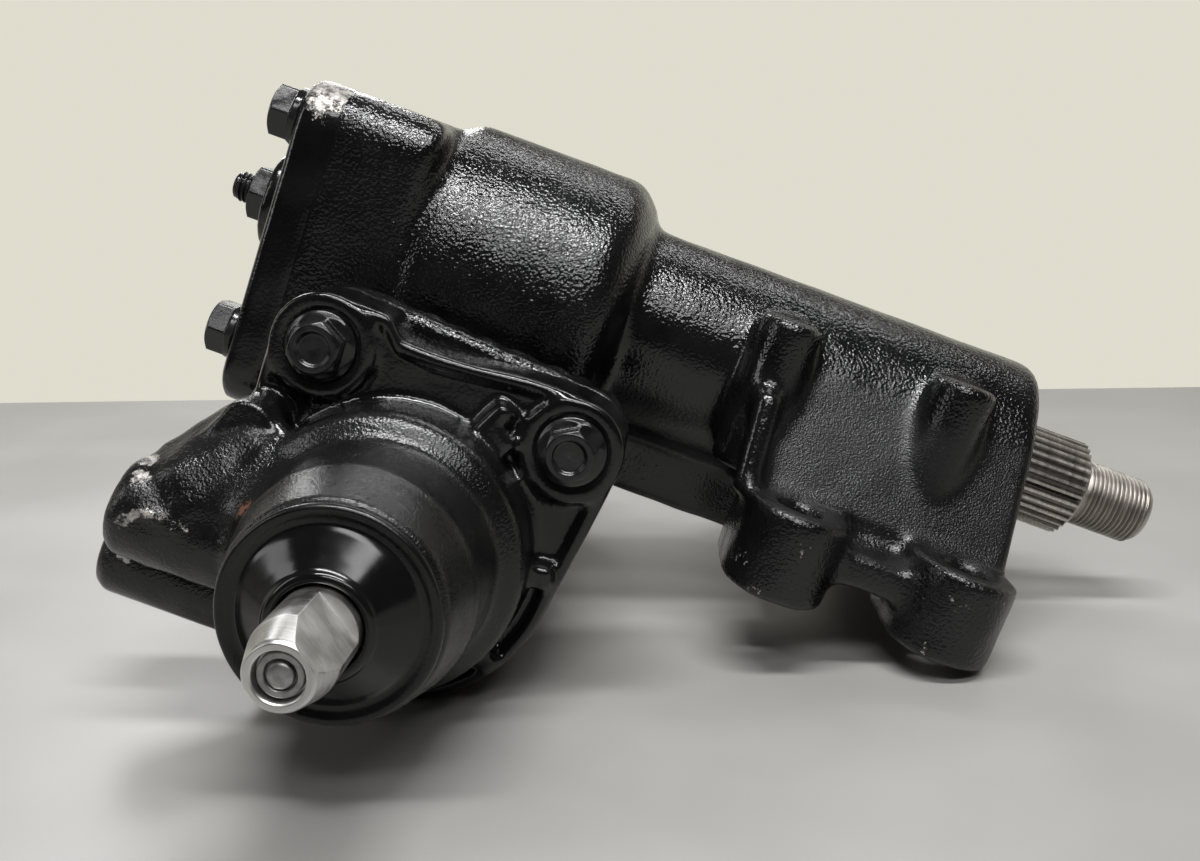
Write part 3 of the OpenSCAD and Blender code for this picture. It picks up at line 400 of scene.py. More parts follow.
def ramp(add, value, low, high, start=0.0, end=1.0):
    """A value brought from the range low..high to start..end, with a soft step."""
    inputs = {"Value": value, "From Min": low, "From Max": high, "To Min": start, "To Max": end}
    return add("MapRange", inputs, interpolation_type="SMOOTHSTEP").outputs["Result"]


def blended(add, factor, first, second):
    """Two colours mixed by a factor."""
    return add("Mix", {0: factor, 6: first, 7: second}, data_type="RGBA").outputs[2]


def combined(add, operation, first, second):
    """Two values put together by one operation."""
    return add("Math", {0: first, 1: second}, operation=operation).outputs[0]


def summed(add, first, second):
    """One value plus another."""
    return combined(add, "ADD", first, second)


def product(add, first, second):
    """One value times another."""
    return combined(add, "MULTIPLY", first, second)


def greatest(add, first, second):
    """The larger of two values."""
    return combined(add, "MAXIMUM", first, second)


def noise(add, place, scale, detail, roughness=0.5):
    """Noise of about 0 to 1, with scale cells to the metre."""
    inputs = {"Vector": place, "Scale": scale, "Detail": detail, "Roughness": roughness}
    return add("TexNoise", inputs).outputs["Fac"]


def attribute(add, name):
    """A value that a piece holds at its points."""
    return add("Attribute", attribute_name=name).outputs["Fac"]


def bumped(add, height, strength, distance, normal=None, invert=False):
    """The normal that a height gives, laid over another normal where there is one."""
    inputs = {"Height": height, "Strength": strength, "Distance": distance}
    if normal is not None:
        inputs["Normal"] = normal
    return add("Bump", inputs, invert=invert).outputs["Normal"]


def painted_casting():
    """Gloss black paint over a cast grain: the grain shows as bump by the attribute "grain" and the gloss
    goes down by "matt"; paint is worn to unpainted iron where "wear" passes a noise, and rusty where
    "rust" does. The same flecks of unpainted iron also paint one highlight, on the housing's block corner."""
    material, _, add, join = shader("painted_casting")
    place = add("TexCoord").outputs["Object"]
    grain, matt, wear, rust = (attribute(add, name) for name in ("grain", "matt", "wear", "rust"))
    peel = noise(add, place, 1050.0, 1.0, 0.4)
    fine = noise(add, place, 3600.0, 1.0)
    stipple = noise(add, place, 1900.0, 1.0)
    broad = noise(add, place, 70.0, 3.0)
    flake = noise(add, place, 420.0, 6.0, 0.75)
    # Unpainted iron where the worn spots pass the noise; on the top corner of the housing's cover block these
    # flecks are a painted highlight.
    bare_and_glint = ramp(add, summed(add, wear, flake), 0.96, 1.06)
    rusty = ramp(add, summed(add, rust, flake), 0.95, 1.1)
    paint = blended(add, ramp(add, broad, 0.3, 0.7), (0.003, 0.003, 0.0033, 1), (0.0065, 0.0065, 0.0069, 1))
    metal = blended(add, ramp(add, flake, 0.4, 0.62), (0.12, 0.11, 0.105, 1), (0.52, 0.495, 0.465, 1))
    scale = blended(add, fine, (0.06, 0.027, 0.015, 1), (0.18, 0.078, 0.037, 1))
    join(blended(add, rusty, blended(add, bare_and_glint, paint, metal), scale), "Base Color")
    join(product(add, bare_and_glint, ramp(add, rusty, 0.0, 1.0, 0.7, 0.0)), "Metallic")
    gloss = summed(add, ramp(add, broad, 0.25, 0.75, 0.11, 0.17), product(add, matt, 0.22))
    worn = ramp(add, greatest(add, bare_and_glint, rusty), 0.0, 1.0, 0.0, 0.5)
    join(greatest(add, gloss, worn), "Roughness")
    normal = bumped(add, peel, product(add, grain, 0.9), 0.00042)
    normal = bumped(add, stipple, product(add, matt, 0.9), 0.0003, normal)
    join(bumped(add, bare_and_glint, 0.35, 0.0004, normal, invert=True), "Normal")
    return material


def gloss_fastener():
    """Gloss black over forged steel, with a fine uneven coat."""
    material, _, add, join = shader("gloss_fastener")
    place = add("TexCoord").outputs["Object"]
    fine = noise(add, place, 900.0, 3.0)
    broad = noise(add, place, 240.0, 4.0)
    tone = ramp(add, broad, 0.35, 0.7)
    join(blended(add, tone, (0.006, 0.006, 0.0065, 1), (0.014, 0.014, 0.015, 1)), "Base Color")
    join(ramp(add, broad, 0.3, 0.7, 0.13, 0.26), "Roughness")
    join(bumped(add, fine, 0.12, 0.0002), "Normal")
    return material


def moulded_rubber():
    """Black rubber: glossy where "grain" is low, with a matt moulded texture where it is high."""
    material, principled, add, join = shader("moulded_rubber")
    principled.inputs["Specular IOR Level"].default_value = 0.4
    place = add("TexCoord").outputs["Object"]
    grain = attribute(add, "grain")
    fine = noise(add, place, 1500.0, 3.0)
    smear = noise(add, place, 120.0, 4.0)
    join(blended(add, smear, (0.003, 0.003, 0.0032, 1), (0.006, 0.006, 0.0063, 1)), "Base Color")
    rough = ramp(add, grain, 0.0, 1.0, 0.1, 0.22)
    join(summed(add, rough, ramp(add, smear, 0.3, 0.7, 0.0, 0.08)), "Roughness")
    join(bumped(add, fine, product(add, grain, 0.25), 0.0002), "Normal")
    return material


def turned_steel(name, dark, light, rough, turn=((0, 0, 0), (1.0, 1.0, 1.0)), stained=0.3):
    """Steel with turning marks: noise drawn out round the turning axis, as rings of tone and bump;
    darker where the attribute "grime" is high; where "milled" is, less smooth and brighter,
    the brightening a painted reflection. turn holds the angle that lines the marks up with the axis and the
    noise's stretch in each direction."""
    material, principled, add, join = shader(name)
    principled.inputs["Metallic"].default_value = 1.0
    place = add("TexCoord").outputs["Object"]
    angle, stretch = turn
    turned = add("Mapping", {"Vector": place, "Rotation": angle}).outputs["Vector"]
    rings = add("Mapping", {"Vector": turned, "Scale": stretch}).outputs["Vector"]
    marks = noise(add, rings, 900.0, 3.0)
    stain = noise(add, place, 160.0, 5.0)
    grime, milled = attribute(add, "grime"), attribute(add, "milled")
    turnings = blended(add, ramp(add, marks, 0.3, 0.7), dark, light)
    # Painted reflection: the drive flats' colour goes up to 0.78 to stand for the pale wall they mirror; the added
    # roughness is the flats' own machined finish.
    bright = blended(add, product(add, milled, 0.8), turnings, (0.78, 0.77, 0.75, 1))
    # Darker, towards 0.07, where grime is high: the roots of the output spline's teeth and of its thread.
    tone = blended(add, product(add, grime, 0.8), bright, (0.07, 0.065, 0.06, 1))
    darker = tuple(0.55 * c for c in dark[:3]) + (1,)
    join(blended(add, ramp(add, stain, 0.52, 0.75, 0.0, stained), tone, darker), "Base Color")
    uneven = summed(add, ramp(add, stain, 0.3, 0.75, rough - 0.06, rough + 0.1),
                    ramp(add, marks, 0.3, 0.7, 0.0, 0.06))
    join(summed(add, uneven, product(add, milled, 0.16)), "Roughness")
    join(bumped(add, marks, 0.18, 0.0002), "Normal")
    return material


def speckled(name, dark, light, rough, metallic, scale):
    """A plain finish with a mottled tone and roughness at one scale."""
    material, principled, add, join = shader(name)
    principled.inputs["Metallic"].default_value = metallic
    mottle = noise(add, add("TexCoord").outputs["Object"], scale, 4.0)
    join(blended(add, ramp(add, mottle, 0.3, 0.7), dark, light), "Base Color")
    join(ramp(add, mottle, 0.3, 0.7, rough, rough + 0.12), "Roughness")
    join(bumped(add, mottle, 0.1, 0.0002), "Normal")
    return material


CASTING = painted_casting()
FASTENER = gloss_fastener()
RUBBER = moulded_rubber()
BRASS = speckled("brass_seat", (0.50, 0.36, 0.14, 1), (0.68, 0.50, 0.22, 1), 0.28, 1.0, 700.0)
RING_PLASTIC = speckled("ring_plastic", (0.06, 0.075, 0.10, 1), (0.11, 0.13, 0.16, 1), 0.4, 0.0, 900.0)
BEARING = turned_steel("bearing_steel", (0.50, 0.50, 0.51, 1), (0.66, 0.66, 0.67, 1), 0.2)
ACROSS_STEEL = turned_steel("turned_across", (0.50, 0.49, 0.48, 1), (0.64, 0.63, 0.61, 1), 0.3,
                            ((0, 0, 0), (0.05, 2.4, 0.05)), 0.05)
ALONG_STEEL = turned_steel("turned_along", (0.42, 0.39, 0.355, 1), (0.60, 0.565, 0.52, 1), 0.36,
                           ((0, -TILT, 0), (2.4, 0.05, 0.05)), 0.25)
PLAIN_STEEL = speckled("plain_steel", (0.24, 0.24, 0.24, 1), (0.38, 0.37, 0.36, 1), 0.36, 1.0, 500.0)
FINISHES = {"black_casting": CASTING, "black_fastener": FASTENER, "black_rubber": RUBBER,
            "brass_seat": BRASS, "ring_plastic": RING_PLASTIC, "bearing_steel": BEARING,
            "machined_steel": ACROSS_STEEL, "plain_steel": PLAIN_STEEL}

# Castings

# Fills are bars as (start, end, radius); worn places, rust and a painted highlight are spots as (place, reach).
# Those of the housing are in box coordinates, those of the valve housing in (right, up, forward) of the joint
# face.

HOUSING_FILLS = (
    ((0, JOINT_Y + 2.5, WORM_Z), (0, 88, WORM_Z), 37.2),      # cylinder
    ((-57, 0, -8), (-18, 0, -8), 37.4),                       # opening behind the cover
    ((-80, 0, 0), (-50, 0, 0), 12),                           # hub of the cover
    ((-22.5, 0, 0), (22.5, 0, 0), 44),                        # sector chamber
    ((20, 0, 0), (NECK_END - 3, 0, 0), 26.5),                 # output neck
    ((86.8, -46.6, 1), (88.6, -56.3, -28), 4.2),              # bead by the inner foot
    ((112, -50, -36), (149, -50, -36), 6.5))                  # gap between the wall and the link of the feet
# The first scuff, on the top corner of the cover's block, is a painted highlight: flecks of unpainted iron where a
# glint falls. The rest are real scuffs and chips.
HOUSING_SCUFFS_AND_GLINT = (
    ((-31, -41.5, 39.5), 5), ((92, -70, -40), 6), ((108, -76, -30), 7), ((152, -76, -30), 7),
    ((168, -60, -27), 6), ((143, -70, -48), 5), ((88, -47, -12), 6), ((120, -60, -50), 6))
HOUSING_FLECKS = (
    ((93, -70, -43), 9), ((106, -76, -33), 6), ((99, -75, -49), 7), ((152, -76, -33), 7),
    ((163, -73, -29), 6), ((150, -74, -48), 6), ((118, -68, -30), 6))
COVER_CORNER = (((-65, -42.5, 38), 12), ((-69.5, -41, 38), 10), ((-61, -41, 39), 10))

VALVE_FLOW = (
    ((-62, PORT_UP, PORT_FORWARD), (-10, PORT_UP, PORT_FORWARD), 12.8),       # pressure boss
    ((-42, 21, 22), (-57, 2, 27), 7.5),                       # blends between the boss and the nose
    ((-38, 16, 27), (-54, -2, 34), 9.0),
    ((-44, 12, 24), (-55, -3, 32), 10.5),
    ((-31, 18, 24), (-52, -1, 34), 10.5),
    ((-24, 14, 29), (-49, -5, 36), 10.5),
    ((-29, 3, 40), (-23, 4, 58), 6.0),
    ((0, 0, 22), (0, 0, 54), 30.4),                           # nose
    ((-50, -2, 20), (-38, 12, 20), 8))
VALVE_NOSE = ((28, 0.5), (28, 37.6), (33, 38.1), (36, 37.3), (40, 31.6), (45, 30.9), (62, 29.4), (70, 27.6),
              (73.5, 26.8), (75, 26.6), (VALVE_REACH, 25.7), (VALVE_REACH, 0.5))
VALVE_FILLS = (
    ((12, 33, 21), (18.5, 46, 20.5), 3.2),                    # rib on the flange
    ((-58, -5.6, 45.3), (-51, -5.0, 45.6), 1.5),              # ridge along the pressure boss
    ((-51, -6.2, 45.3), (-44.5, -6.6, 45.3), 1.4),
    ((0, 0, 2), (0, 0, 60), 30.2))                            # bore of the valve
VALVE_RIDGE = tuple(((right, -5.5, 46), 2.2) for right in (-57, -54, -51, -48, -45))
VALVE_CHIPS = (((-62, 4.3, 35.2), 4.6), ((-61, 1, 40), 3.4), ((-60.5, -9, 46), 3.0), ((-66, -29, 22), 3.0))
VALVE_FLECKS = (((-54, 0, 45), 8.0), ((-46, 2, 44), 6.0))
VALVE_RUST = (((-31.5, 5.5, 48), 6.0), ((-29.5, 7.3, 54), 5.5), ((-27.5, 9, 60), 5.0))


def split(points, quads, level):
    """The two sides of a skin at box X = level, each closed by a fan to the middle of its cut.

    Quads go to the side of their centre; the points on the line between are set on the plane and drawn
    in a little, as the hairline of the joint.
    """
    beyond = points[quads].mean(1)[:, 0] > level
    line = np.zeros(len(points), int)
    np.bitwise_or.at(line, quads[beyond].ravel(), 1)
    np.bitwise_or.at(line, quads[~beyond].ravel(), 2)
    shared = line == 3
    middle = points[shared].mean(0)
    outward = points[shared, 1:] - middle[1:]
    points = points.copy()
    points[shared, 1:] -= HAIRLINE * outward / np.linalg.norm(outward, axis=1)[:, None]
    points[shared, 0] = level
    sides = []
    for chosen in (quads[beyond], quads[~beyond]):
        edges = edges_of(chosen)
        _, place, count = np.unique(np.sort(edges, axis=1), axis=0, return_inverse=True, return_counts=True)
        rim = edges[count[place.reshape(-1)] == 1]
        fan = np.stack([rim[:, 1], rim[:, 0], np.full(len(rim), len(points))], axis=-1)
        used = np.unique(chosen)
        number = np.zeros(len(points) + 1, int)
        number[used] = np.arange(len(used))
        number[-1] = len(used)
        sides.append((used, np.concatenate([points[used], [[level, *middle[1:]]]]),
                      number[chosen].tolist() + number[fan].tolist()))
    return sides


def dress_housing():
    """Gear housing and side cover: one skin with the bores filled, because other pieces close them,
    split where the cover meets its seat; the cover's top corner is worn to unpainted iron, and flecks of
    unpainted iron on the top corner of the cover's block are a painted highlight."""
    fills = [bar(*row) for row in HOUSING_FILLS]
    shape = joined(node_shape("gear_housing"), node_shape("side_cover"), *fills)
    points, quads, normals, bulge = skin(shape, voxel=1.36, fillet=1.8, edge=0.7)
    x, y, z = points.T
    foot = rise(x, 80, 86) * rise(-z, 23.5, 25.5)
    ledge = np.exp(-((y + 61) / 7) ** 2) * rise(z, -34, -26)
    ledge *= rise(x, -58, -52) * rise(-x, -48, -40)
    uneven = (0.1 + 0.08 * foot) * lumps(points, 26, 9, 11) + 0.65 * ledge * lumps(points, 10, 4.5, 12)
    points = points + uneven[:, None] * normals
    x, _, z = points.T
    cover = x < COVER_SEAT
    wall = rise(x, 86, 92) * rise(-z, -14, -6) * (1 - foot)
    neck = rise(x, 30, 38) * rise(-x, -92, -86) * rise(-z, -16, -6)
    level = rise(normals[:, 2], 0.6, 0.9) * (x > 84) * rise(-z, 20, 23)
    # Scuffs, flecks and the cover's worn corner; the scuff spot on the block's corner paints a highlight.
    wear = 0.46 * bulge * near(points, HOUSING_SCUFFS_AND_GLINT) + 0.12 * bulge + 0.42 * near(points, HOUSING_FLECKS)
    wear = np.clip(wear + 0.66 * near(points, COVER_CORNER) * cover, 0, 0.62)
    grain = 0.85 + 0.15 * lumps(points, 60, 30, 5)
    grain = grain * (1 - 0.75 * wall) * (1 - 0.2 * foot) * (1 - 0.6 * neck)
    grain = np.clip(np.where(cover, 0.16, grain), 0, 1)
    matt = np.maximum(np.maximum(0.7 * wall, 0.4 * foot), 0.75 * level) + 0.06
    for node, (used, part, faces) in zip(("gear_housing", "side_cover"), split(points, quads, COVER_SEAT)):
        cast = piece(node + "_skin", part, faces, "housing", "black_casting", CASTING, [node],
                     wear=np.append(wear[used], 0), grain=np.append(grain[used], 0),
                     matt=np.append(matt[used], 0), rust=np.zeros(len(part)))
        cast.data.set_sharp_from_angle(angle=np.radians(65))


def dipped(points):
    """The flange's top edge drawn in between its two upper bosses: points near the line from one bolt to
    the other move square to it by up to 4.6 mm, by a bump along the line times a fall-off below the edge."""
    along, square = FLANGE_FRAME
    right, up, forward = points[:, 0], points[:, 2] - WORM_Z, JOINT_Y - points[:, 1]
    run = right * along[0] + up * along[1]
    height = right * square[0] + up * square[1]
    bump = rise(run, -22.5, -15.5) * rise(-run, -30, 12)
    bump = bump * bump * (3 - 2 * bump)
    depth = 4.6 * bump * rise(height, 44, 52) * rise(-forward, -24, -22)
    moved = points.copy()
    moved[:, 0] -= depth * square[0]
    moved[:, 2] -= depth * square[1]
    return moved


def opened(points):
    """The pressure port's mouth: points inside its thread's radius move in along the port's axis, to the
    ledge of its tube seat and, inside the seat's radius, past the seat."""
    from_axis = np.hypot(points[:, 2] - WORM_Z - PORT_UP, JOINT_Y - points[:, 1] - PORT_FORWARD)
    mouth = points[:, 0] < -40
    moved = points.copy()
    moved[mouth & (from_axis < PORT_R), 0] = PORT_LEDGE
    moved[mouth & (from_axis < SEAT_R), 0] = SEAT_BACK
    return moved


def dress_valve():
    """Valve housing: its skin, with the pressure boss flowing into the nose over a wide fillet."""
    cell, fillet, edge = 1.6, 9.0, 0.2
    points, quads = shifted(*joined(*joint_bars(VALVE_FLOW)), cell, fillet)
    points, quads = shifted(points, quads, cell, -fillet - edge, True)
    flow = points.astype(float), halved(quads[:, ::-1].astype(int))
    turned = eased(VALVE_NOSE, 1.8, 0.4)
    points, faces = lathe(turned[:, 0], carried(turned, 160), joint_point(0, 0, 0), *VALVE_AXES)
    nose = points, triangles_of(faces)
    shape = joined(node_shape("valve_housing"), flow, nose, *joint_bars(VALVE_FILLS))
    points, quads, normals, bulge = skin(shape, voxel=0.74, fillet=1.4, edge=0.5)
    boss = rise(-points[:, 0], 36, 42) * rise(JOINT_Y - points[:, 1], 19, 22)
    uneven = 0.08 * lumps(points, 26, 9, 23) + 0.22 * boss * lumps(points, 18, 7, 24)
    points = opened(dipped(points + uneven[:, None] * normals))
    forward = JOINT_Y - points[:, 1]
    around = np.hypot(points[:, 0], points[:, 2] - WORM_Z)
    smooth = rise(forward, 39, 40.5) * rise(-around, -32.5, -31.5)
    band = rise(forward, 20, 22) * rise(-around, -40, -38.5)
    wear = 0.62 * near_joint(points, VALVE_CHIPS) + 0.42 * near_joint(points, VALVE_RIDGE)
    wear = np.clip(wear + 0.3 * near_joint(points, VALVE_FLECKS) + 0.1 * bulge, 0, 0.64)
    piece("valve_housing_skin", points, quads, "housing", "black_casting", CASTING, ["valve_housing"],
          wear=wear, rust=0.57 * near_joint(points, VALVE_RUST),
          grain=(0.16 + 0.26 * band + 0.3 * boss) * (1 - smooth) + 0.04 * smooth,
          matt=0.05 + 0.3 * band + 0.22 * smooth + 0.4 * boss)


# Fasteners

def hexagon(across, count):
    """Radius of a hexagon at each of count angles: half its width over the cosine from the nearest flat."""
    return across / 2 / np.cos((angles(count) + np.pi / 6) % (np.pi / 3) - np.pi / 6)


def flanged_bolts(name, places, axes, across, head, flange, shank, grip, node):
    """Flanged hexagon bolts: radius is the smaller of the turned profile and, over the flange, the
    hexagon; the head has a chamfered top with a shallow dish, and the shank runs back to its tip."""
    profile = eased([(-grip, 0), (-grip, shank - 0.8), (-grip + 0.8, shank), (0, shank), (0, flange - 0.3),
                     (0.5, flange), (1.3, flange), (2.6, across * 0.585), (head - 1.1, across * 0.585),
                     (head, across * 0.47), (head, across * 0.36), (head - 0.9, across * 0.3),
                     (head - 1.0, 0)], 0.25, 0.2)
    profile = thinned(profile, 0.0)
    count = 96
    radius = carried(profile, count)
    top = profile[:, 0] > 1.5
    six = hexagon(across, count)[None] + np.clip((2.7 - profile[:, :1]) * 2.0, 0, 9) ** 1.5
    radius[top] = np.minimum(radius, six)[top]
    shapes = [lathe(profile[:, 0], radius, place, *axes) for place in places]
    points = np.concatenate([p for p, _ in shapes])
    starts = np.cumsum([0] + [len(p) for p, _ in shapes[:-1]])
    faces = [[c + s for c in f] for (_, fs), s in zip(shapes, starts) for f in fs]
    piece(name, points, faces, "housing", "black_fastener", FASTENER, [node])


def screw_rows(length, pitch, outer, depth, per_turn):
    """Radii of a thread, along by angle: outer - depth * a triangle wave of (along / pitch - angle),
    faded to the core over the first and last millimetre."""
    rows_per_pitch = 14
    along = np.linspace(0, length, int(length / pitch * rows_per_pitch))
    angle = np.linspace(0, 1, per_turn, endpoint=False)
    phase = (along[:, None] / pitch - angle[None]) % 1.0
    wave = np.clip(np.abs(2 * phase - 1) * 1.25 - 0.125, 0, 1)
    fade = np.clip(np.minimum(along, length - along), 0, 1)[:, None]
    return along, outer - depth * (1 - wave * fade)


def dress_fasteners():
    """Cover bolts, valve housing bolts, and the adjuster with its lock nut."""
    upper = np.array([[35.25, 42.0], [-35.25, 42.0]]) @ FLANGE_FRAME
    low = 45.56 * np.array([[-0.44, -0.9]])
    places = np.concatenate([upper, low])
    flanged_bolts("valve_bolt_heads", joint_point(places[:, 0], places[:, 1], BOSS_FACE), VALVE_AXES,
                  across=12.9, head=8.0, flange=9.36, shank=4.0, grip=30.0, node="valve_housing_bolts")
    corners = np.array([[COVER_FACE, y, z] for y in (-36, 36) for z in (29, -39)], float)
    flanged_bolts("cover_bolt_heads", corners, COVER_AXES,
                  across=15.0, head=9.0, flange=8.7, shank=5.0, grip=32.0, node="side_cover_bolts")
    count = 96
    hub = (HUB_FACE, 0, 0)
    along, radius = screw_rows(13.0, 1.5, 5.0, 0.8, count)
    back = np.array([(-35.3, 0.5), (-35.3, 7.9), (-30.3, 7.9), (-30.3, 4.9), (-0.6, 4.9)])
    front = np.array([(13.4, 4.3), (13.9, 3.6), (14.0, 2.6), (9.2, 2.5), (9.0, 0.4)])
    along = np.concatenate([back[:, 0], along, front[:, 0]])
    radius = np.concatenate([carried(back, count), radius, carried(front, count)])
    piece("adjuster_screw_thread", *lathe(along, radius, hub, *COVER_AXES),
          "housing", "black_fastener", FASTENER, ["adjuster_screw"])
    nut = eased([(0, 5.3), (0, 8.4), (0.9, 9.9), (6.1, 9.9), (7.0, 8.4), (7.0, 5.3)], 0.2, 0.2)
    radius = np.minimum(carried(nut, count), hexagon(17.0, count)[None])
    core = np.full((1, count), 4.7)                           # inside the screw's thread
    along = np.concatenate([[3.5], nut[:, 0], [3.5]])
    piece("adjuster_lock_nut_hexagon", *lathe(along, np.concatenate([core, radius, core]), hub, *COVER_AXES),
          "housing", "black_fastener", FASTENER, ["adjuster_lock_nut"])


# Shafts and seal

def dress_seal():
    """Input dust seal: one turned profile, matt on its flat rim and glossy on the cone."""
    depth = 5.5
    profile = eased([(-depth, 19.5), (-depth, 21.9), (0, 21.9), (0.2, 25.6), (1.6, 25.6), (2.5, 24.9),
                     (2.4, 23.6), (1.7, 22.2), (1.6, 21.0), (2.4, 19.8), (6.2, 15.2), (8.2, 12.9),
                     (9.3, 12.2), (9.8, 11.2), (9.5, 10.2), (8.0, 9.85), (6.6, 10.6), (0.5, 17.0),
                     (-depth, 19.5)], 0.5, 0.25)
    points, faces = ring_lathe(profile, 192, joint_point(0, 0, VALVE_REACH), *VALVE_AXES)
    around = np.hypot(points[:, 0], points[:, 2] - WORM_Z)
    piece("input_dust_seal_rubber", points, faces, "housing", "black_rubber", RUBBER, ["input_dust_seal"],
          grain=rise(around, 20.6, 21.8))


def dress_input():
    """Input shaft: radius is the smaller of the turned profile and two drive flats near the tip."""
    profile = eased([(8, 3.5), (8, 15.6), (8.4, 16), (49.6, 16), (50, 15.6), (50, INPUT_R), (102, INPUT_R),
                     (110.2, 7.5), (111, 6.9), (111, 5.7), (110.6, 5.35), (108, 5.3), (108, 3.5)], 0.2, 0.1)
    plain = profile[:, 0] < FLAT_FROM - 0.5
    profile = np.concatenate([thinned(profile[plain], FLAT_FROM), profile[~plain]])
    count = 256
    flat = FLAT_OUT / np.maximum(np.abs(np.cos(angles(count) - FLAT_TURN)), 1e-3)
    cut = np.clip((profile[:, :1] - FLAT_FROM) / 0.1, 0, 1)
    radius = np.minimum(carried(profile, count), flat[None] + 4 * (1 - cut))
    core = np.full((1, count), 3.4)                           # both ends close on the torsion bar
    along = np.concatenate([[8], profile[:, 0], [108]])
    points, faces = lathe(along, np.concatenate([core, radius, core]), joint_point(0, 0, 0), *VALVE_AXES)
    out = np.abs(points[:, 0] * np.cos(FLAT_TURN) + (points[:, 2] - WORM_Z) * np.sin(FLAT_TURN))
    # The drive flats: less smooth, and brighter as a painted reflection of the pale wall.
    milled = (np.abs(out - FLAT_OUT) < 0.03) & (JOINT_Y - points[:, 1] > FLAT_FROM)
    shaft = piece("input_shaft_steel", points, faces, "input", "machined_steel", ACROSS_STEEL,
                  ["input_shaft"], milled=milled)
    shaft.data.set_sharp_from_angle(angle=np.radians(25))


def dress_torsion_bar():
    """Torsion bar: a plain bar with a collar and a domed end in the input shaft's recess."""
    quarter = np.linspace(0, np.pi / 2, 14)
    dome = np.stack([109.6 + np.sin(quarter), 2.8 * np.cos(quarter)], axis=-1)
    stem = eased([(-8, 0.4), (-8, 2.9), (-7.6, 3.1), (108, 3.1), (108, 4.85), (109.3, 4.85), (109.6, 4.6),
                  (109.6, 3.5), (109.3, 3.2), (108.4, 3.2), (108.3, 2.8)], 0.12, 0.12)
    profile = thinned(np.concatenate([stem, dome]), 107.0)
    points, faces = lathe(profile[:, 0], carried(profile, 128), joint_point(0, 0, 0), *VALVE_AXES)
    piece("torsion_bar_steel", points, faces, "input", "plain_steel", PLAIN_STEEL, ["torsion_bar"])


def dress_output():
    """Output end: a copy of the sector shaft up to its spline's end, and the nut thread as one surface."""
    points, triangles = node_shape("sector_shaft")
    mesh = bpy.data.meshes.new("sector_shaft_copy")
    mesh.from_pydata(points, [], triangles)
    work = bmesh.new()
    work.from_mesh(mesh)
    bmesh.ops.bisect_plane(work, geom=work.verts[:] + work.edges[:] + work.faces[:],
                           plane_co=(SPLINE_END - 1.0, 0, 0), plane_no=(1, 0, 0), clear_outer=True)
    bmesh.ops.holes_fill(work, edges=[e for e in work.edges if e.is_boundary])
    work.verts.ensure_lookup_table()
    kept = np.array([v.co for v in work.verts], float)
    faces = [[v.index for v in f.verts] for f in work.faces]
    work.free()
    bpy.data.meshes.remove(mesh)
    # Darker in the spline's roots: below a radius of 16 to 14.7 mm, from the neck's end on.
    spline = (kept[:, 0] > NECK_END - 2) * rise(-np.hypot(kept[:, 1], kept[:, 2]), -16.0, -14.7)
    shaft = piece("sector_shaft_steel", kept, faces, "sector", "machined_steel", ALONG_STEEL,
                  ["sector_shaft"], grime=spline)
    shaft.data.set_sharp_from_angle(angle=np.radians(35))
    count = 160
    along, radius = screw_rows(20.0, 1.5, THREAD_R, 0.95, count)
    neck = np.array([(-1.4, 13.4), (-1.2, 13.9), (-0.2, 13.2), (0.0, 12.6), (0.0, 10.0), (0.3, 9.6),
                     (1.8, 9.6), (2.0, 10.05)])
    tip = np.array([(22.6, 10.0), (23.3, 9.6), (24.0, 8.9), (24.0, 3.2), (23.0, 2.4), (20.5, 0.6)])
    along = np.concatenate([neck[:, 0], 2.3 + along, tip[:, 0]])
    radius = np.concatenate([carried(neck, count), radius, carried(tip, count)])
    # Darker in the thread's grooves.
    groove = np.clip((THREAD_R - 0.15 - radius) / 0.9, 0, 1) * ((along > 2) & (along < 22.5))[:, None] * 0.8
    piece("output_thread", *lathe(along, radius, (SPLINE_END, 0, 0), *OUTPUT_AXES), "sector",
          "machined_steel", ALONG_STEEL, ["sector_shaft"], grime=np.concatenate([[0], groove.ravel(), [0]]))


# Camera, floor and light

LENS, SENSOR = 34.45, 36.0                    # mm
PICTURE_WIDTH, PICTURE_HEIGHT = 1200, 861     # pixels
EDGE_LEFT, EDGE_RIGHT = (-2400, 435), (3600, 355)       # pixels on the floor's far edge, past both sides
FLOOR_DEPTH = 4                               # m
LAMPS = (                 # name, place, aim, width, depth (m) and power (W)
    ("lamp_overhead", (-0.12, -0.34, 0.92), (-0.12, 0.0, 0.0), 0.7, 0.11, 9.8),
    ("lamp_back", (0.05, 0.50, 0.85), (-0.1, 0.0, 0.0), 1.1, 0.1, 2.8),
    ("lamp_front", (0.05, -0.78, 0.82), (-0.08, 0.0, 0.0), 0.8, 0.2, 4.8),
    ("lamp_left", (-0.95, -0.35, 0.45), (-0.20, 0.0, 0.0), 0.2, 0.5, 1.0),
    ("lamp_rear", (-0.60, 0.90, 0.62), (-0.05, 0.0, 0.0), 0.6, 0.25, 4.0))


def box_direction(vector):
    """Row-frame direction of a box direction."""
    return np.asarray(vector, float) @ TURN


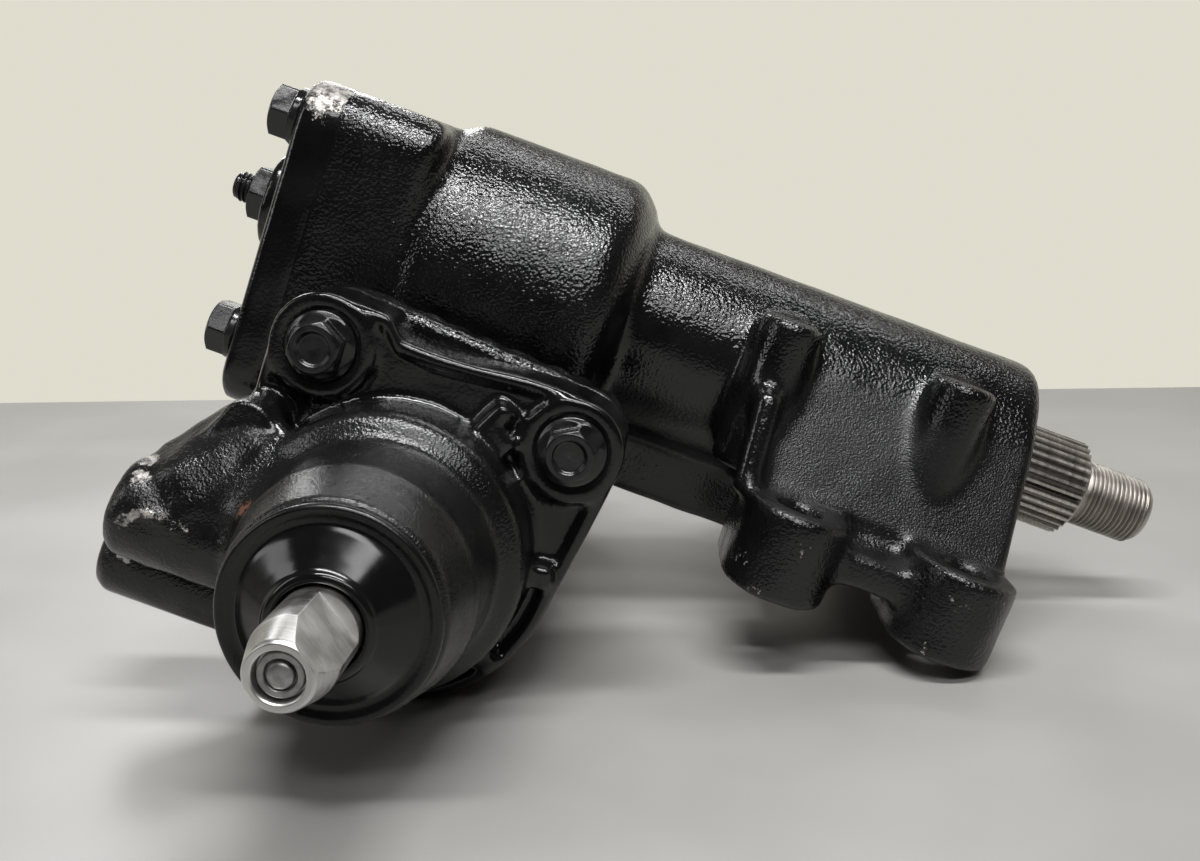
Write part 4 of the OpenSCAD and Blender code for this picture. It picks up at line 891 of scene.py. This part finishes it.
def set_camera():
    """The photograph's viewpoint: place, heading and roll in box coordinates."""
    data = bpy.data.cameras.new("camera")
    data.lens, data.sensor_width, data.sensor_fit = LENS, SENSOR, "HORIZONTAL"
    data.clip_start, data.clip_end = 0.02, 20
    camera = bpy.data.objects.new("camera", data)
    bpy.context.scene.collection.objects.link(camera)
    right, down = box_direction((0.93954, 0.05416, 0.33812)), box_direction((0.34213, -0.19010, -0.92022))
    ahead = box_direction((0.01444, 0.98027, -0.19714))
    place = from_box([(38.18, -384.11, 40.77)])[0]
    turn = np.eye(4)
    turn[:3, 0], turn[:3, 1], turn[:3, 2], turn[:3, 3] = right, -down, -ahead, place
    camera.matrix_world = Matrix(turn.tolist())
    bpy.context.scene.camera = camera
    return place, right, down, ahead


def floor_point(view, x, y):
    """Where the ray through a pixel of the picture meets the floor."""
    place, right, down, ahead = view
    focal = LENS / SENSOR * PICTURE_WIDTH
    ray = ahead + (x - PICTURE_WIDTH / 2) / focal * right + (y - PICTURE_HEIGHT / 2) / focal * down
    return place + ray * (FLOOR - place[2]) / ray[2]


def set_stage(view):
    """A grey floor whose far edge is the line behind the object."""
    left, right = floor_point(view, *EDGE_LEFT), floor_point(view, *EDGE_RIGHT)
    near_left, near_right = left - [0, FLOOR_DEPTH, 0], right - [0, FLOOR_DEPTH, 0]
    mesh = bpy.data.meshes.new("floor")
    mesh.from_pydata([left, near_left, near_right, right], [], [(0, 1, 2, 3)])
    floor = bpy.data.objects.new("floor", mesh)
    bpy.context.scene.collection.objects.link(floor)
    material, principled, add, join = shader("floor_grey")
    cloud = noise(add, add("TexCoord").outputs["Object"], 9.0, 4.0)
    tone = ramp(add, cloud, 0.3, 0.7)
    join(blended(add, tone, (0.32, 0.315, 0.305, 1), (0.38, 0.375, 0.36, 1)), "Base Color")
    join(ramp(add, cloud, 0.3, 0.7, 0.34, 0.42), "Roughness")
    principled.inputs["Specular IOR Level"].default_value = 0.6
    mesh.materials.append(material)


def set_light():
    """Soft light: a world that is dark in front and pale behind, and lamps overhead, behind, in front, at
    the left and at the rear. The camera, and reflections of what is low and behind, see a brighter one."""
    world = bpy.data.worlds.new("studio")
    bpy.context.scene.world = world
    world.use_nodes = True
    tree = world.node_tree
    add = adder(tree)
    heading = add("SeparateXYZ", {0: add("TexCoord").outputs["Generated"]})
    backward = ramp(add, heading.outputs["Y"], -0.3, 0.7)
    high = ramp(add, heading.outputs["Z"], 0.15, 0.5)
    behind = blended(add, high, (0.44, 0.43, 0.38, 1), (0.17, 0.165, 0.155, 1))
    around = blended(add, backward, (0.03, 0.0295, 0.029, 1), behind)
    path = add("LightPath").outputs
    mirrored = greatest(add, path["Is Glossy Ray"], path["Is Transmission Ray"])
    low_behind = product(add, backward, combined(add, "SUBTRACT", 1.0, high))
    seen = greatest(add, path["Is Camera Ray"], product(add, mirrored, low_behind))
    backing = tree.nodes["Background"].inputs
    tree.links.new(blended(add, seen, around, (0.74, 0.72, 0.62, 1)), backing["Color"])
    backing["Strength"].default_value = 1.0
    for name, place, aim, width, depth, watts in LAMPS:
        data = bpy.data.lights.new(name, "AREA")
        data.shape, data.size, data.size_y, data.energy = "RECTANGLE", width, depth, watts
        lamp = bpy.data.objects.new(name, data)
        bpy.context.scene.collection.objects.link(lamp)
        lamp.location = place
        lamp.rotation_euler = (Vector(aim) - Vector(place)).to_track_quat("-Z", "Y").to_euler()


# The whole

def finish_solids():
    """The CAD nodes that stay get their slot's finish."""
    slots = {part["node"]: part["material_slot"] for part in frame["record"]["subparts"]}
    for name, node in frame["nodes"].items():
        finish = FINISHES.get(slots.get(name), PLAIN_STEEL)
        node.data.materials.clear()
        node.data.materials.append(finish)


bpy.context.scene.view_settings.view_transform = "Standard"
view = set_camera()
set_stage(view)
set_light()
finish_solids()
dress_housing()
dress_valve()
dress_fasteners()
dress_seal()
dress_input()
dress_torsion_bar()
dress_output()
